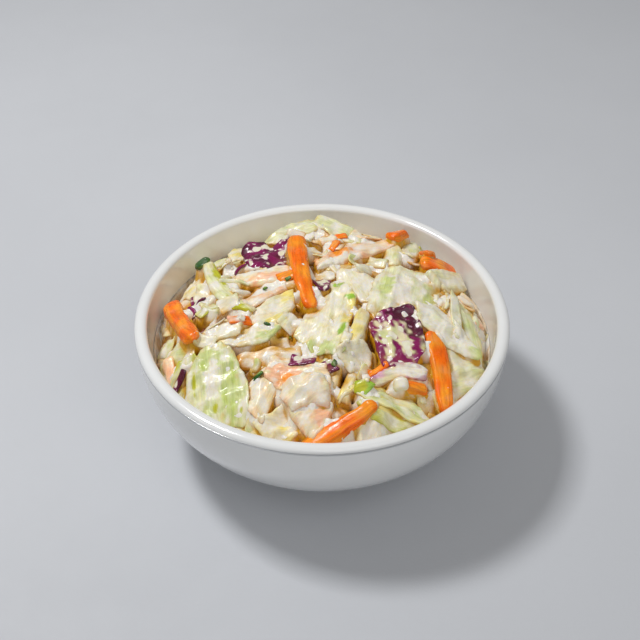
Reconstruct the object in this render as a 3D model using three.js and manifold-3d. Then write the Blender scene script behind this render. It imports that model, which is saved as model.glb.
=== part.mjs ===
// A small round bowl of coleslaw, in millimetres, +Z up, standing on z = 0 with the bowl's axis on Z.
// The bowl is one turned solid. The coleslaw is one heap: a core that fills the bowl, and fused to it the
// cut pieces that show, laid one after another, each leaning on what is already there.
import * as THREE from "three";
import { mergeVertices } from "three/addons/utils/BufferGeometryUtils.js";
import Module from "manifold-3d";

const wasm = await Module();
wasm.setup();

// Bowl
const RIM_RADIUS = 65;
const BOWL_HEIGHT = 50;
const BODY_DEPTH = 47.4; // from the rim's plane down to the lowest point of the rounded body
const BODY_POWER = 2.5; // the body is a superellipse of this power: steep at the rim, flat at the floor
const LIP_WIDTH = 4.4;
const LIP_ROUNDING = 1.7; // the lip is half an ellipse: this high and LIP_WIDTH wide
const FLOOR_THICKNESS = 4.5;
const FOOT_RADIUS = 34;
const FOOT_WIDTH = 3.4;
const FOOT_HEIGHT = 5.2;
const FOOT_FLARE = 0.4; // the foot ring is this much wider at its top
const FOOT_ROUNDING = 0.6;
const FOOT_RECESS = 2.6;
const FOOT_ANGLE = 1.09; // the angle on the body's superellipse where it meets the foot
const LIP_ANGLE = 0.013; // and where it meets the lip
const BOWL_SEGMENTS = 56;

// Heap
const WALL_GAP = 0.35;
const CORE_GAP = 0.6; // the core's underside stays this much further from the wall
const CORE_REACH = 0.95; // and its edge is at this share of the room's radius
const ROOM_TOP = 90;
const EDGE_HEIGHT = 34; // where the core's surface meets the wall
const CROWN_HEIGHT = 50;
const DOME_POWER = 3.7;
const DOME_FULLNESS = 0.9;
const LEAN_X = 0.015; // the heap's slope: a little higher to the right and at the back
const LEAN_Y = 0.045;
const LUMP_HEIGHT = 0.7;
const LUMP_LENGTH = 13;
const CORE_SEGMENTS = 32;
const PIECE_LIMIT = 57.5; // no piece reaches further out than this

// Pieces
const THICKNESS = { leaf: 1.5, shred: 2, stick: 3.4, carrot: 4.6, fillLeaf: 2.4, fillShred: 2.4 };
const FILL_LENGTH = [12, 23];
const FILL_SHRED_WIDTH = [2.5, 4.3];
const FILL_LEAF_SHAPE = [0.55, 0.8]; // width over length
const LEAF_ROUNDNESS = 3; // the corners of a leaf lie near a superellipse of this power
const LEAF_RINGS = [0.55, 1]; // the points on a leaf's faces, as shares of the way from its middle to its edge
const RIPPLE = [0.5, 1];
const RIPPLE_LENGTH = 12;
const LEAST_SAMPLED = 6; // a narrow piece leans on a strip of the bed at least this wide
const BEDDING = 0.5; // how deep a piece presses into what carries it, as a share of its thickness
const REST_SHARE = 0.72; // the share of a piece's underside that lies at or above what carries it
const FILL_LEAVES = 24;
const FILL_SHREDS = 20;
const LEAST_SHOWN = 40; // a piece that shows less than this area from above is left out
const SMALLEST_DETAIL = 0.1;
const GOLDEN_ANGLE = Math.PI * (3 - Math.sqrt(5));

// Height bed: a square grid that keeps the top of the heap while pieces are laid
const BED_CELL = 1.5;
const BED_CELLS = 83;

const INNER_RADIUS = RIM_RADIUS - LIP_WIDTH;
const INNER_DEPTH = BODY_DEPTH - FLOOR_THICKNESS;
const ROOM_RADIUS = INNER_RADIUS - WALL_GAP;

// A seeded source of random numbers: draw(low, high) gives the next one
function drawFrom(seed) {
  let state = (seed * 7919 + 101) >>> 0;
  const draw = (low = 0, high = 1) => {
    state = (Math.imul(state, 1664525) + 1013904223) >>> 0;
    return low + ((high - low) * state) / 2 ** 32;
  };
  draw();
  return draw;
}

// Closed geometry to solid and back
function solidOf(geometry) {
  const bare = new THREE.BufferGeometry().setAttribute("position", geometry.getAttribute("position"));
  bare.setIndex(geometry.getIndex());
  const merged = mergeVertices(bare, 1e-4);
  return new wasm.Manifold(
    new wasm.Mesh({
      numProp: 3,
      vertProperties: new Float32Array(merged.attributes.position.array),
      triVerts: new Uint32Array(merged.index.array),
    }),
  );
}

function geometryOf(solid) {
  const mesh = solid.getMesh();
  const geometry = new THREE.BufferGeometry();
  geometry.setAttribute("position", new THREE.BufferAttribute(mesh.vertProperties, 3));
  geometry.setIndex(new THREE.BufferAttribute(mesh.triVerts, 1));
  geometry.computeVertexNormals();
  return geometry;
}

// Bowl

function superellipse(radius, depth, angle) {
  const r = radius * Math.pow(Math.max(0, Math.cos(angle)), 2 / BODY_POWER);
  const drop = depth * Math.pow(Math.sin(angle), 2 / BODY_POWER);
  return new THREE.Vector2(r, BOWL_HEIGHT - drop);
}

function bowlProfile() {
  const points = [];
  const recessRadius = FOOT_RADIUS - FOOT_WIDTH;
  points.push(new THREE.Vector2(0, FOOT_RECESS));
  points.push(new THREE.Vector2(recessRadius - 1, FOOT_RECESS));
  points.push(new THREE.Vector2(recessRadius, FOOT_ROUNDING));
  points.push(new THREE.Vector2(recessRadius + FOOT_ROUNDING, 0));
  points.push(new THREE.Vector2(FOOT_RADIUS - FOOT_ROUNDING, 0));
  points.push(new THREE.Vector2(FOOT_RADIUS, FOOT_ROUNDING));
  points.push(new THREE.Vector2(FOOT_RADIUS + FOOT_FLARE, FOOT_HEIGHT));
  const wallSteps = 7;
  for (let i = 0; i <= wallSteps; i++) {
    const share = Math.pow(i / wallSteps, 0.8);
    points.push(superellipse(RIM_RADIUS, BODY_DEPTH, FOOT_ANGLE + (LIP_ANGLE - FOOT_ANGLE) * share));
  }
  const lip = LIP_WIDTH / 2;
  const lipSteps = 4;
  for (let i = 0; i <= lipSteps; i++) {
    const turn = (Math.PI * i) / lipSteps;
    const r = RIM_RADIUS - lip + lip * Math.cos(turn);
    points.push(new THREE.Vector2(r, BOWL_HEIGHT + LIP_ROUNDING * (Math.sin(turn) - 1)));
  }
  const innerSteps = 7;
  for (let i = 1; i <= innerSteps; i++) {
    const angle = LIP_ANGLE + (Math.PI / 2 - LIP_ANGLE) * Math.pow(i / innerSteps, 0.9);
    points.push(superellipse(INNER_RADIUS, INNER_DEPTH, angle));
  }
  points[points.length - 1].x = 0;
  return points;
}

// The height of the bowl's inner surface at a distance from its axis
function wallHeight(radius) {
  const share = Math.min(1, radius / INNER_RADIUS);
  return BOWL_HEIGHT - INNER_DEPTH * Math.pow(1 - Math.pow(share, BODY_POWER), 1 / BODY_POWER);
}

// Heap's core

function lump(x, y) {
  const k = (2 * Math.PI) / LUMP_LENGTH;
  const alongX = Math.sin(k * x + 1.3 * Math.sin(0.6 * k * y));
  const alongY = Math.sin(k * y + 1.7 * Math.cos(0.7 * k * x));
  return LUMP_HEIGHT * (alongX + alongY);
}

function domeHeight(x, y) {
  const share = Math.min(1, Math.hypot(x, y) / ROOM_RADIUS);
  const rise = Math.pow(1 - Math.pow(share, DOME_POWER), DOME_FULLNESS);
  const dome = EDGE_HEIGHT + (CROWN_HEIGHT - EDGE_HEIGHT) * rise;
  return dome + LEAN_X * x + LEAN_Y * y + lump(x, y) * Math.sqrt(rise);
}

// The room inside the bowl, a gap short of its wall, and straight up from its lip
function roomGeometry() {
  const profile = [];
  const steps = 9;
  for (let i = steps; i > 0; i--) {
    const angle = (Math.PI / 2) * Math.pow(i / steps, 0.9);
    profile.push(superellipse(ROOM_RADIUS, INNER_DEPTH - WALL_GAP, angle));
  }
  profile[0].x = 0;
  profile.push(new THREE.Vector2(ROOM_RADIUS, ROOM_TOP), new THREE.Vector2(0, ROOM_TOP));
  return new THREE.LatheGeometry(profile, BOWL_SEGMENTS).rotateX(Math.PI / 2);
}

// A turned solid whose top rings are then set to the dome's height
function coreGeometry() {
  const profile = [];
  const floorSteps = 5;
  const edge = CORE_REACH * ROOM_RADIUS;
  for (let i = 0; i <= floorSteps; i++) {
    const r = edge * Math.sin((Math.PI / 2) * (i / floorSteps));
    profile.push(new THREE.Vector2(r, wallHeight(r) + WALL_GAP + CORE_GAP));
  }
  const topSteps = 7;
  for (let i = 0; i <= topSteps; i++) profile.push(new THREE.Vector2(edge * (1 - i / topSteps), ROOM_TOP));
  const geometry = new THREE.LatheGeometry(profile, CORE_SEGMENTS).rotateX(Math.PI / 2);
  const position = geometry.getAttribute("position");
  for (let i = 0; i < position.count; i++)
    if (position.getZ(i) > ROOM_TOP - 1) position.setZ(i, domeHeight(position.getX(i), position.getY(i)));
  return geometry;
}

// Height bed

class HeightBed {
  constructor() {
    this.half = (BED_CELL * (BED_CELLS - 1)) / 2;
    this.z = new Float64Array(BED_CELLS * BED_CELLS);
    this.top = new Array(BED_CELLS * BED_CELLS).fill(null); // the piece that is uppermost in each cell
    for (let j = 0; j < BED_CELLS; j++)
      for (let i = 0; i < BED_CELLS; i++)
        this.z[j * BED_CELLS + i] = domeHeight(i * BED_CELL - this.half, j * BED_CELL - this.half);
  }

  at(x, y) {
    const u = Math.min(BED_CELLS - 1.001, Math.max(0, (x + this.half) / BED_CELL));
    const v = Math.min(BED_CELLS - 1.001, Math.max(0, (y + this.half) / BED_CELL));
    const i = Math.floor(u);
    const j = Math.floor(v);
    const fu = u - i;
    const fv = v - j;
    const z = this.z;
    const k = j * BED_CELLS + i;
    const near = z[k] * (1 - fu) + z[k + 1] * fu;
    const far = z[k + BED_CELLS] * (1 - fu) + z[k + BED_CELLS + 1] * fu;
    return near * (1 - fv) + far * fv;
  }

  raise(x, y, height, piece) {
    const i = Math.round((x + this.half) / BED_CELL);
    const j = Math.round((y + this.half) / BED_CELL);
    const k = j * BED_CELLS + i;
    if (this.z[k] >= height) return;
    this.z[k] = height;
    this.top[k] = piece;
  }

  // The area that a piece shows from above
  shownArea(piece) {
    return BED_CELL ** 2 * this.top.filter((top) => top === piece).length;
  }
}

// A piece has a kind, the place of its middle, the heading of its length in degrees, a length and a width.
// Its shape is bend (sideways bow), curl (long edges turned up), arch (ends turned down), rise (tail above
// head), roll (left edge above right), lift (above where it would lie) and thickness, each in millimetres.
// Taper is the share of a bar's section that is gone at its head, and an outline's corners are shares of the
// piece's half length and half width.
const SHAPE = { bend: 0, curl: 0, arch: 0, rise: 0, roll: 0, lift: 0, taper: 0.08 };

function pieceAt(kind, x, y, heading, length, width, shape = {}) {
  return { kind, x, y, heading: THREE.MathUtils.degToRad(heading), length, width, ...SHAPE, ...shape };
}

// The pieces that are told apart in the heap, in the order in which they were laid
const SHOWN_PIECES = [
  // Along the back
  pieceAt("leaf", -41, 38, 20, 15, 12, { curl: 1 }),
  pieceAt("leaf", -29, 36, 60, 16, 13, { arch: 1.5 }),
  pieceAt("leaf", 1, 42, 80, 14, 12, { curl: -2 }),
  pieceAt("leaf", -11, 46, 22, 26, 11, {
    arch: 2, roll: 4, lift: 1.5,
    outline: [[1, 0.4], [0.6, 1], [-0.3, 0.6], [-1, -0.2], [-0.6, -0.9], [0.4, -1], [1, -0.5]],
  }),
  pieceAt("leaf", 7, 44, -30, 23, 10, {
    arch: 2, roll: 4, lift: 1.5,
    outline: [[1, 0.2], [0.5, 0.8], [-0.3, 1], [-1, 0.8], [-1, -0.4], [-0.1, -1], [0.8, -0.7]],
  }),
  pieceAt("leaf", 18, 44, 15, 15, 8, { arch: 1 }),
  pieceAt("leaf", 34, 39, 84, 17, 9, { curl: -1.5, arch: 1 }),
  pieceAt("shred", 26, 32, 86, 14, 8, { curl: -2.5 }),
  pieceAt("shred", 12, 30, 30, 33, 9, {
    bend: 1.5, curl: -1, arch: 1.5, thickness: 2.4,
    outline: [[1, 0.7], [0.1, 1], [-0.9, 0.8], [-1, -0.4], [-0.3, -1], [0.6, -0.7], [1, -0.4]],
  }),
  // At the right, near the wall
  pieceAt("carrot", 47, 30, 5, 14, 7, { arch: 1.5 }),
  pieceAt("carrot", 39, 33, -80, 9, 5),
  pieceAt("stick", 28, 42, 60, 9, 7, { lift: 2.5, thickness: 5 }),
  pieceAt("leaf", 48, 21, 28, 17, 10, {
    arch: 1.5, thickness: 2.6,
    outline: [[1, 0.9], [0, 0.8], [-1, 0.6], [-1, -0.6], [-0.4, -1], [0.5, -0.6], [1, 0]],
  }),
  pieceAt("stick", 52, 14, 80, 8, 6.5),
  pieceAt("stick", 55, 5, 100, 7, 5),
  pieceAt("leaf", 50, 2, 60, 15, 12, { curl: 1.5 }),
  pieceAt("shred", 55, -8, 98, 24, 6.5, { bend: -1, roll: -1 }),
  pieceAt("leaf", 47, -22, 30, 19, 16, {
    outline: [[-0.2, 1], [0.9, 0.5], [1, -0.3], [0, -0.9], [-1, -1], [-0.8, 0.1]],
  }),
  pieceAt("leaf", 46.5, -1, 100, 22, 6, {
    roll: 3, lift: 1, thickness: 1.3,
    outline: [[1, -0.3], [0.7, -1], [-0.3, -0.4], [-1, 0], [-1, 1], [0, 0.7]],
  }),
  // The middle
  pieceAt("leaf", 14, 11, 110, 21, 15, {
    curl: -1.5,
    outline: [[1, 0.7], [0.5, 1], [-0.6, 0.6], [-1, 0], [-0.9, -0.5], [0, -1], [0.9, -0.6]],
  }),
  pieceAt("leaf", 29, 5.5, 78, 33, 24, {
    curl: -2.5, arch: 2.5, roll: 2, thickness: 1.8,
    outline: [
      [0.6, 1], [1, 0.6], [1, -0.4], [0.8, -0.9], [0.3, -1], [-0.3, -0.9], [-0.9, -0.9],
      [-0.7, -0.2], [-0.9, 0.6], [-0.6, 1],
    ],
  }),
  pieceAt("shred", -18, -22, 2, 24, 7, { curl: -1, arch: 1 }),
  pieceAt("shred", -17, 10.5, 0, 15, 5, {
    arch: 1, lift: -0.8,
    outline: [[1, 0.7], [0, 1], [-1, 0.9], [-0.9, -0.5], [0, -1], [1, -0.8]],
  }),
  pieceAt("leaf", 3, -5, 76, 39, 20, {
    curl: 1.5, roll: -2, lift: 0.8,
    outline: [
      [1, 0.3], [0.5, -0.7], [-0.3, -0.75], [-1, -1], [-1, -0.1], [-0.6, 1], [-0.1, 0.95],
      [0.5, 0.75],
    ],
  }),
  pieceAt("leaf", 25.3, -16, 100, 26, 19, {
    curl: 1.5, arch: -1, lift: 1,
    outline: [
      [0.6, 0.95], [1, 0.1], [1, -0.8], [0.4, -1], [-0.4, -0.9], [-1, -0.3], [-0.9, 0.8], [0, 0.8],
    ],
  }),
  pieceAt("leaf", -19.4, 29.5, 5, 20, 19, {
    curl: 1.5, arch: 0.5, roll: 3,
    outline: [
      [-1, 0.5], [-0.7, 1], [-0.2, 0.9], [0.1, 0.5], [0.7, 1], [1, 0.6], [0.9, -1], [0.2, -0.9],
      [-0.6, -0.8], [-0.9, -0.3],
    ],
  }),
  pieceAt("stick", 12.5, -13, 78, 19, 4.4, { lift: 1.5 }),
  pieceAt("leaf", -21.2, -8, 30, 35, 20, {
    curl: 1.2, lift: 1, thickness: 2,
    outline: [
      [-1, 0.6], [-0.6, 0.8], [0.2, 0.7], [0.5, 1], [1, 0.8], [0.8, 0.1], [0.3, -0.6], [-0.1, -1],
      [-0.5, -0.8], [-0.9, -0.2],
    ],
  }),
  pieceAt("leaf", -34, -11, 8, 16, 10, {
    curl: -1,
    outline: [[1, 0.4], [0.3, 1], [-0.6, 0.6], [-1, -0.2], [-0.4, -1], [0.7, -0.9]],
  }),
  pieceAt("shred", -22, 16.6, 3, 23, 9, {
    curl: -0.8, arch: 1.2, lift: 0.3, thickness: 2.4,
    outline: [
      [-1, -0.1], [-0.7, 0.8], [0.2, 0.7], [0.9, 1], [1, -0.7], [0.5, -1], [-0.2, -0.8],
      [-0.9, -0.6],
    ],
  }),
  pieceAt("leaf", -44, 20, 62, 20, 13, {
    curl: 1,
    outline: [[-0.8, 0.7], [0.9, 1], [1, 0.1], [0.2, -0.6], [-0.6, -1], [-1, -0.6]],
  }),
  pieceAt("leaf", -38, 7, 120, 20, 13, { curl: 1 }),
  pieceAt("shred", -33, 10.5, -58, 33, 7, {
    bend: -2.5, curl: -1, lift: 1, thickness: 1.8,
    outline: [[1, 0.7], [0.4, 1], [-0.4, 1], [-1, 0.7], [-1, -0.5], [-0.2, -1], [0.6, -1], [1, -0.3]],
  }),
  pieceAt("shred", -19.7, 5.4, 20, 17, 9, {
    arch: 1.2, roll: 1, thickness: 2,
    outline: [[-1, 0.1], [-0.2, 1], [1, 0.6], [0.9, -0.1], [0, -0.6], [-0.7, -1], [-1, -0.4]],
  }),
  pieceAt("carrot", -6.5, 17, -81, 37, 7.2, { bend: -1.2, rise: 2, lift: 1.5, taper: 0.3 }),
  pieceAt("leaf", 0, 11, 100, 10, 7, { curl: 1 }),
  // At the left, near the wall
  pieceAt("leaf", -50.5, -18.5, -25, 15, 12, { curl: 1.5 }),
  pieceAt("stick", -52.8, -21, -76, 11, 4.5),
  pieceAt("leaf", -46, -25, 70, 14, 9, { curl: 1 }),
  pieceAt("carrot", -49.7, -1.6, -68, 31, 6.2, { bend: -0.6, rise: -1, lift: 1, taper: 0.15, thickness: 5 }),
  // Along the front
  pieceAt("carrot", 39, -26, -83, 27, 7, { bend: 0.8, lift: 0.5, taper: 0.3 }),
  pieceAt("leaf", 43, -9, 155, 27, 15, {
    curl: -1, roll: -1, lift: 0.5,
    outline: [
      [1, -0.4], [0.6, -1], [0.2, -0.9], [-0.4, -0.4], [-1, 0.3], [-1, 0.6], [-0.1, 1], [0.7, 0.5],
    ],
  }),
  pieceAt("leaf", 16, -49.5, 40, 12, 9, { curl: 1 }),
  pieceAt("leaf", 27, -48, 25, 14, 9, { curl: 1 }),
  pieceAt("leaf", 22, -44, 168, 24, 8, { bend: 1, roll: -2 }),
  pieceAt("leaf", 23.5, -40, 165, 30, 10, {
    bend: 1, curl: 1.5, lift: 0.5,
    outline: [
      [1, 0.2], [0.9, -0.6], [0.3, -0.8], [-0.3, -1], [-1, 0.3], [-0.7, 1], [0, 0.7], [0.6, 0.7],
    ],
  }),
  pieceAt("shred", 26, -35.5, 5, 11, 5, { arch: 1 }),
  pieceAt("stick", 29.5, -35, 8, 10, 3.4),
  pieceAt("leaf", 25.4, -31.2, 10, 20, 8.4, {
    curl: -1, arch: 1, lift: 0.5,
    outline: [
      [-1, -0.2], [-0.9, -1], [-0.4, -0.5], [0.3, -0.4], [0.8, -0.7], [1, 0.4], [0.5, 1],
      [-0.4, 0.8],
    ],
  }),
  pieceAt("leaf", -13, -47, 10, 17, 11, { curl: 1 }),
  pieceAt("carrot", 5.5, -52, 26, 27, 6.2, { rise: 1, lift: 0.5, taper: 0.4 }),
  pieceAt("shred", 4, -34, 78, 18, 4.5, { arch: 1 }),
  pieceAt("shred", 9, -35, 70, 14, 4, { arch: 1 }),
  pieceAt("leaf", 11, -25, 25, 13, 8, { curl: 1 }),
  pieceAt("leaf", 1.5, -30, -5, 9, 4.5, { curl: 1 }),
  pieceAt("leaf", -20, -36.5, 66, 20, 11, {
    curl: -1, arch: 1,
    outline: [[0.3, 1], [1, 0.5], [0.8, -0.9], [0, -0.8], [-1, -1], [-0.7, 0.2]],
  }),
  pieceAt("leaf", -8, -31, 175, 23, 14, {
    curl: -1.5, arch: 1.5,
    outline: [[1, 0.1], [0.8, -1], [-0.1, -0.9], [-0.8, -0.4], [-1, 0.7], [-0.3, 1], [0.4, 0.9]],
  }),
  pieceAt("leaf", -2.5, -45.5, 20, 14, 14, {
    roll: 5, thickness: 3,
    outline: [[-0.9, 1], [0.1, 0.9], [1, 0.2], [0.6, -0.4], [-0.4, -1], [-1, 0.4]],
  }),
  pieceAt("leaf", -5, -40, 30, 15, 15, {
    curl: -1.5, arch: 1, roll: 1.5, lift: 0.5, thickness: 2,
    outline: [
      [-0.6, 1], [0.4, 0.9], [1, 0.3], [1, -0.3], [0.6, -0.9], [0, -0.5], [-0.8, -0.3], [-1, 0.5],
    ],
  }),
  pieceAt("leaf", -35.5, -32, 97, 30, 22, {
    curl: -1, arch: 2.5, lift: 0.8,
    outline: [
      [1, 0.3], [1, -0.3], [0.6, -0.65], [-0.2, -1], [-1, -0.9], [-0.8, 0.2], [-0.3, 0.95],
      [0.5, 0.8],
    ],
  }),
];

// What fills the rest of the surface, spread evenly by the golden angle
function spread(kind, count, seed, widthOf, shapeOf) {
  const pieces = [];
  for (let i = 0; i < count; i++) {
    const draw = drawFrom(seed + i);
    const r = PIECE_LIMIT * Math.sqrt((i + 0.5) / count);
    const turn = i * GOLDEN_ANGLE + draw(0, 0.5);
    const length = draw(...FILL_LENGTH);
    const heading = draw(0, 360);
    const width = widthOf(length, draw);
    pieces.push(pieceAt(kind, r * Math.cos(turn), r * Math.sin(turn), heading, length, width, shapeOf(draw)));
  }
  return pieces;
}

function fillLeaves() {
  const widthOf = (length, draw) => length * draw(...FILL_LEAF_SHAPE);
  const shapeOf = (draw) => ({ curl: draw(-1, 2), rise: draw(-2.5, 2.5), roll: draw(-2, 2) });
  return spread("fillLeaf", FILL_LEAVES, 100, widthOf, shapeOf);
}

function fillShreds() {
  const widthOf = (length, draw) => draw(...FILL_SHRED_WIDTH);
  const shapeOf = (draw) => ({ bend: draw(-2, 2), arch: draw(0, 2), rise: draw(-2, 2) });
  return spread("fillShred", FILL_SHREDS, 200, widthOf, shapeOf);
}

// The corners of a chopped leaf, in its own length and width
function leafCorners(piece, draw) {
  const count = Math.floor(draw(5, 7));
  const corners = [];
  for (let i = 0; i < count; i++) {
    const turn = (2 * Math.PI * (i + draw(-0.25, 0.25))) / count;
    const c = Math.cos(turn);
    const s = Math.sin(turn);
    const round = Math.abs(c) ** LEAF_ROUNDNESS + Math.abs(s) ** LEAF_ROUNDNESS;
    const reach = draw(0.88, 1.1) / round ** (1 / LEAF_ROUNDNESS);
    corners.push([0.5 * piece.length * reach * c, 0.5 * piece.width * reach * s]);
  }
  return corners;
}

function barCorners(piece) {
  const a = 0.5 * piece.length;
  const b = 0.5 * piece.width;
  return [
    [a, b],
    [-a, b],
    [-a, -b],
    [a, -b],
  ];
}

// An outline's corners in millimetres, counterclockwise
function outlineCorners(piece) {
  const around = [...piece.outline].sort((p, q) => Math.atan2(p[1], p[0]) - Math.atan2(q[1], q[0]));
  return around.map(([u, v]) => [0.5 * piece.length * u, 0.5 * piece.width * v]);
}

function onOutline(corners, step) {
  const i = Math.floor(step) % corners.length;
  const j = (i + 1) % corners.length;
  const share = step - Math.floor(step);
  return [
    corners[i][0] * (1 - share) + corners[j][0] * share,
    corners[i][1] * (1 - share) + corners[j][1] * share,
  ];
}

// How far a piece's own form stands above the flat, at a point of its length and width
function relief(piece, a, b) {
  const u = (2 * a) / piece.length;
  const v = (2 * b) / piece.width;
  const wave = (2 * Math.PI) / RIPPLE_LENGTH;
  const ripple = piece.ripple * Math.sin(wave * a + piece.phase) * Math.cos(wave * b - piece.phase);
  const tilt = 0.5 * (piece.roll * v - piece.rise * u);
  return piece.curl * (v * v - 1 / 3) + piece.arch * (1 / 3 - u * u) + tilt + ripple;
}

function toPlan(piece, a, b) {
  const u = (2 * a) / piece.length;
  const side = b + piece.bend * (1 - u * u);
  const c = Math.cos(piece.heading);
  const s = Math.sin(piece.heading);
  return [piece.x + a * c - side * s, piece.y + a * s + side * c];
}

// Moves a piece in from the wall until its corners are within the limit
function keepInside(piece) {
  for (let pass = 0; pass < 3; pass++) {
    const reaches = piece.corners.map(([a, b]) => Math.hypot(...toPlan(piece, a, b)));
    const over = Math.max(0, ...reaches.map((reach) => reach - PIECE_LIMIT));
    const r = Math.hypot(piece.x, piece.y);
    piece.x -= (over * piece.x) / r;
    piece.y -= (over * piece.y) / r;
  }
}

// Leans a piece on the bed: finds the plane that fits the bed below it, and where most of it clears
function lean(piece, bed) {
  const across = Math.max(piece.width, LEAST_SAMPLED);
  const shares = [-0.4, -0.2, 0, 0.2, 0.4];
  const samples = shares.flatMap((i) => shares.map((j) => [i * piece.length, j * across]));
  const heights = samples.map(([a, b]) => bed.at(...toPlan(piece, a, b)));
  const slopeAlong = (axis) => {
    const product = samples.reduce((sum, sample, i) => sum + sample[axis] * heights[i], 0);
    return product / samples.reduce((sum, sample) => sum + sample[axis] ** 2, 0);
  };
  piece.slopeA = slopeAlong(0);
  piece.slopeB = slopeAlong(1);
  const lifts = samples.map(([a, b], i) => {
    const plane = piece.slopeA * a + piece.slopeB * b;
    return heights[i] - plane - relief(piece, a, (b * piece.width) / across);
  });
  lifts.sort((p, q) => p - q);
  piece.base = lifts[Math.round(REST_SHARE * (lifts.length - 1))] - BEDDING * piece.thickness + piece.lift;
}

// Raises the bed to a laid piece's upper face
function coverBed(piece, bed) {
  const rings = 14;
  const turns = 60;
  for (let k = 0; k <= rings; k++)
    for (let m = 0; m < turns; m++) {
      const [a, b] = onOutline(piece.corners, (m * piece.corners.length) / turns).map((p) => (p * k) / rings);
      bed.raise(...toPlan(piece, a, b), underside(piece, a, b) + piece.thickness, piece);
    }
}

function lay(piece, bed, index) {
  const draw = drawFrom(1000 + index);
  const isLeaf = piece.kind.toLowerCase().endsWith("leaf");
  piece.phase = draw(0, 2 * Math.PI);
  piece.ripple = isLeaf ? draw(...RIPPLE) : 0;
  piece.thickness ??= THICKNESS[piece.kind];
  if (piece.outline) piece.corners = outlineCorners(piece);
  else piece.corners = isLeaf ? leafCorners(piece, draw) : barCorners(piece);
  keepInside(piece);
  lean(piece, bed);
  coverBed(piece, bed);
}

// The underside never goes into the bowl's wall
function underside(piece, a, b) {
  const [x, y] = toPlan(piece, a, b);
  const z = piece.base + piece.slopeA * a + piece.slopeB * b + relief(piece, a, b);
  return Math.max(z, wallHeight(Math.hypot(x, y)) + WALL_GAP + CORE_GAP);
}

function geometryFrom(vertices, faces) {
  const geometry = new THREE.BufferGeometry();
  geometry.setAttribute("position", new THREE.Float32BufferAttribute(vertices.flat(), 3));
  geometry.setIndex(faces.flat());
  return geometry;
}

// A thin wavy solid: on both faces a middle point and rings at these shares of the way to the cut edge
function leafGeometry(piece, shares) {
  const count = 2 * piece.corners.length;
  const vertices = [];
  const faces = [];
  const layer = (top) => {
    const start = vertices.length;
    const put = (a, b) => {
      const [x, y] = toPlan(piece, a, b);
      vertices.push([x, y, underside(piece, a, b) + (top ? piece.thickness : 0)]);
    };
    put(0, 0);
    for (const share of shares)
      for (let m = 0; m < count; m++) {
        const [a, b] = onOutline(piece.corners, m / 2);
        put(a * share, b * share);
      }
    for (let m = 0; m < count; m++) {
      const next = (m + 1) % count;
      let ring = start + 1;
      const made = [[start, ring + m, ring + next]];
      for (; ring + 2 * count <= vertices.length; ring += count) {
        const outer = ring + count;
        made.push([ring + m, outer + m, outer + next], [ring + m, outer + next, ring + next]);
      }
      for (const face of made) faces.push(top ? face : face.reverse());
    }
    return vertices.length - count;
  };
  const under = layer(false);
  const over = layer(true);
  for (let m = 0; m < count; m++) {
    const next = (m + 1) % count;
    faces.push([under + m, under + next, over + next], [under + m, over + next, over + m]);
  }
  return geometryFrom(vertices, faces);
}

// A bar of few sides along the piece's bowed length. Its ends taper to endShare of its section
function barGeometry(piece, sides, stations, endShare) {
  const vertices = [];
  const faces = [];
  const turnStart = Math.PI / sides;
  const square = 1 / Math.cos(turnStart);
  for (let i = 0; i <= stations; i++) {
    const u = (2 * i) / stations - 1;
    const narrowing = 1 - piece.taper * Math.max(0, 0.4 + 0.6 * u) ** 1.5;
    const size = narrowing * (Math.abs(u) > 0.99 ? endShare : 1);
    for (let k = 0; k < sides; k++) {
      const turn = turnStart + (2 * Math.PI * k) / sides;
      const b = 0.5 * piece.width * square * Math.cos(turn) * size;
      const rise = 0.5 * piece.thickness * (1 + square * Math.sin(turn) * size);
      const a = 0.5 * u * piece.length;
      const [x, y] = toPlan(piece, a, b);
      vertices.push([x, y, underside(piece, a, 0) + rise]);
    }
  }
  const last = vertices.length - sides;
  for (let k = 0; k < sides; k++) {
    const next = (k + 1) % sides;
    for (let i = 0; i < stations; i++) {
      const here = i * sides;
      const there = here + sides;
      faces.push([here + k, there + next, there + k], [here + k, here + next, there + next]);
    }
    if (k > 1) {
      faces.push([0, k, k - 1]);
      faces.push([last, last + k - 1, last + k]);
    }
  }
  return geometryFrom(vertices, faces);
}

// How each kind is made, unless the piece has an outline of its own
const GEOMETRY = {
  leaf: (piece) => leafGeometry(piece, LEAF_RINGS),
  fillLeaf: (piece) => leafGeometry(piece, [1]),
  shred: (piece) => barGeometry(piece, 4, 5, 0.85),
  fillShred: (piece) => barGeometry(piece, 4, 3, 0.85),
  stick: (piece) => barGeometry(piece, 4, 2, 0.9),
  carrot: (piece) => barGeometry(piece, 8, 4, 0.7),
};

function pieceGeometry(piece) {
  return piece.outline ? leafGeometry(piece, LEAF_RINGS) : GEOMETRY[piece.kind](piece);
}

// Fuses what shows to the core. Keeping the largest body fills sealed hollows and drops loose scraps
function heapGeometry() {
  const bed = new HeightBed();
  const pieces = [...fillLeaves(), ...fillShreds(), ...SHOWN_PIECES];
  pieces.forEach((piece, index) => lay(piece, bed, index));
  const shown = pieces.filter((piece) => bed.shownArea(piece) > LEAST_SHOWN);
  const solids = [coreGeometry(), ...shown.map(pieceGeometry)].map(solidOf);
  const fused = wasm.Manifold.union(solids).intersect(solidOf(roomGeometry())).simplify(SMALLEST_DETAIL);
  return geometryOf(fused.decompose().sort((p, q) => q.volume() - p.volume())[0]);
}

const porcelain = new THREE.MeshStandardMaterial({ color: 0xe6e4df, roughness: 0.2, metalness: 0 });
const dressedSlaw = new THREE.MeshStandardMaterial({ color: 0xe6dfb8, roughness: 0.35, metalness: 0 });

const bowl = new THREE.Mesh(new THREE.LatheGeometry(bowlProfile(), BOWL_SEGMENTS), porcelain);
bowl.name = "bowl";
bowl.rotation.x = Math.PI / 2;

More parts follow.
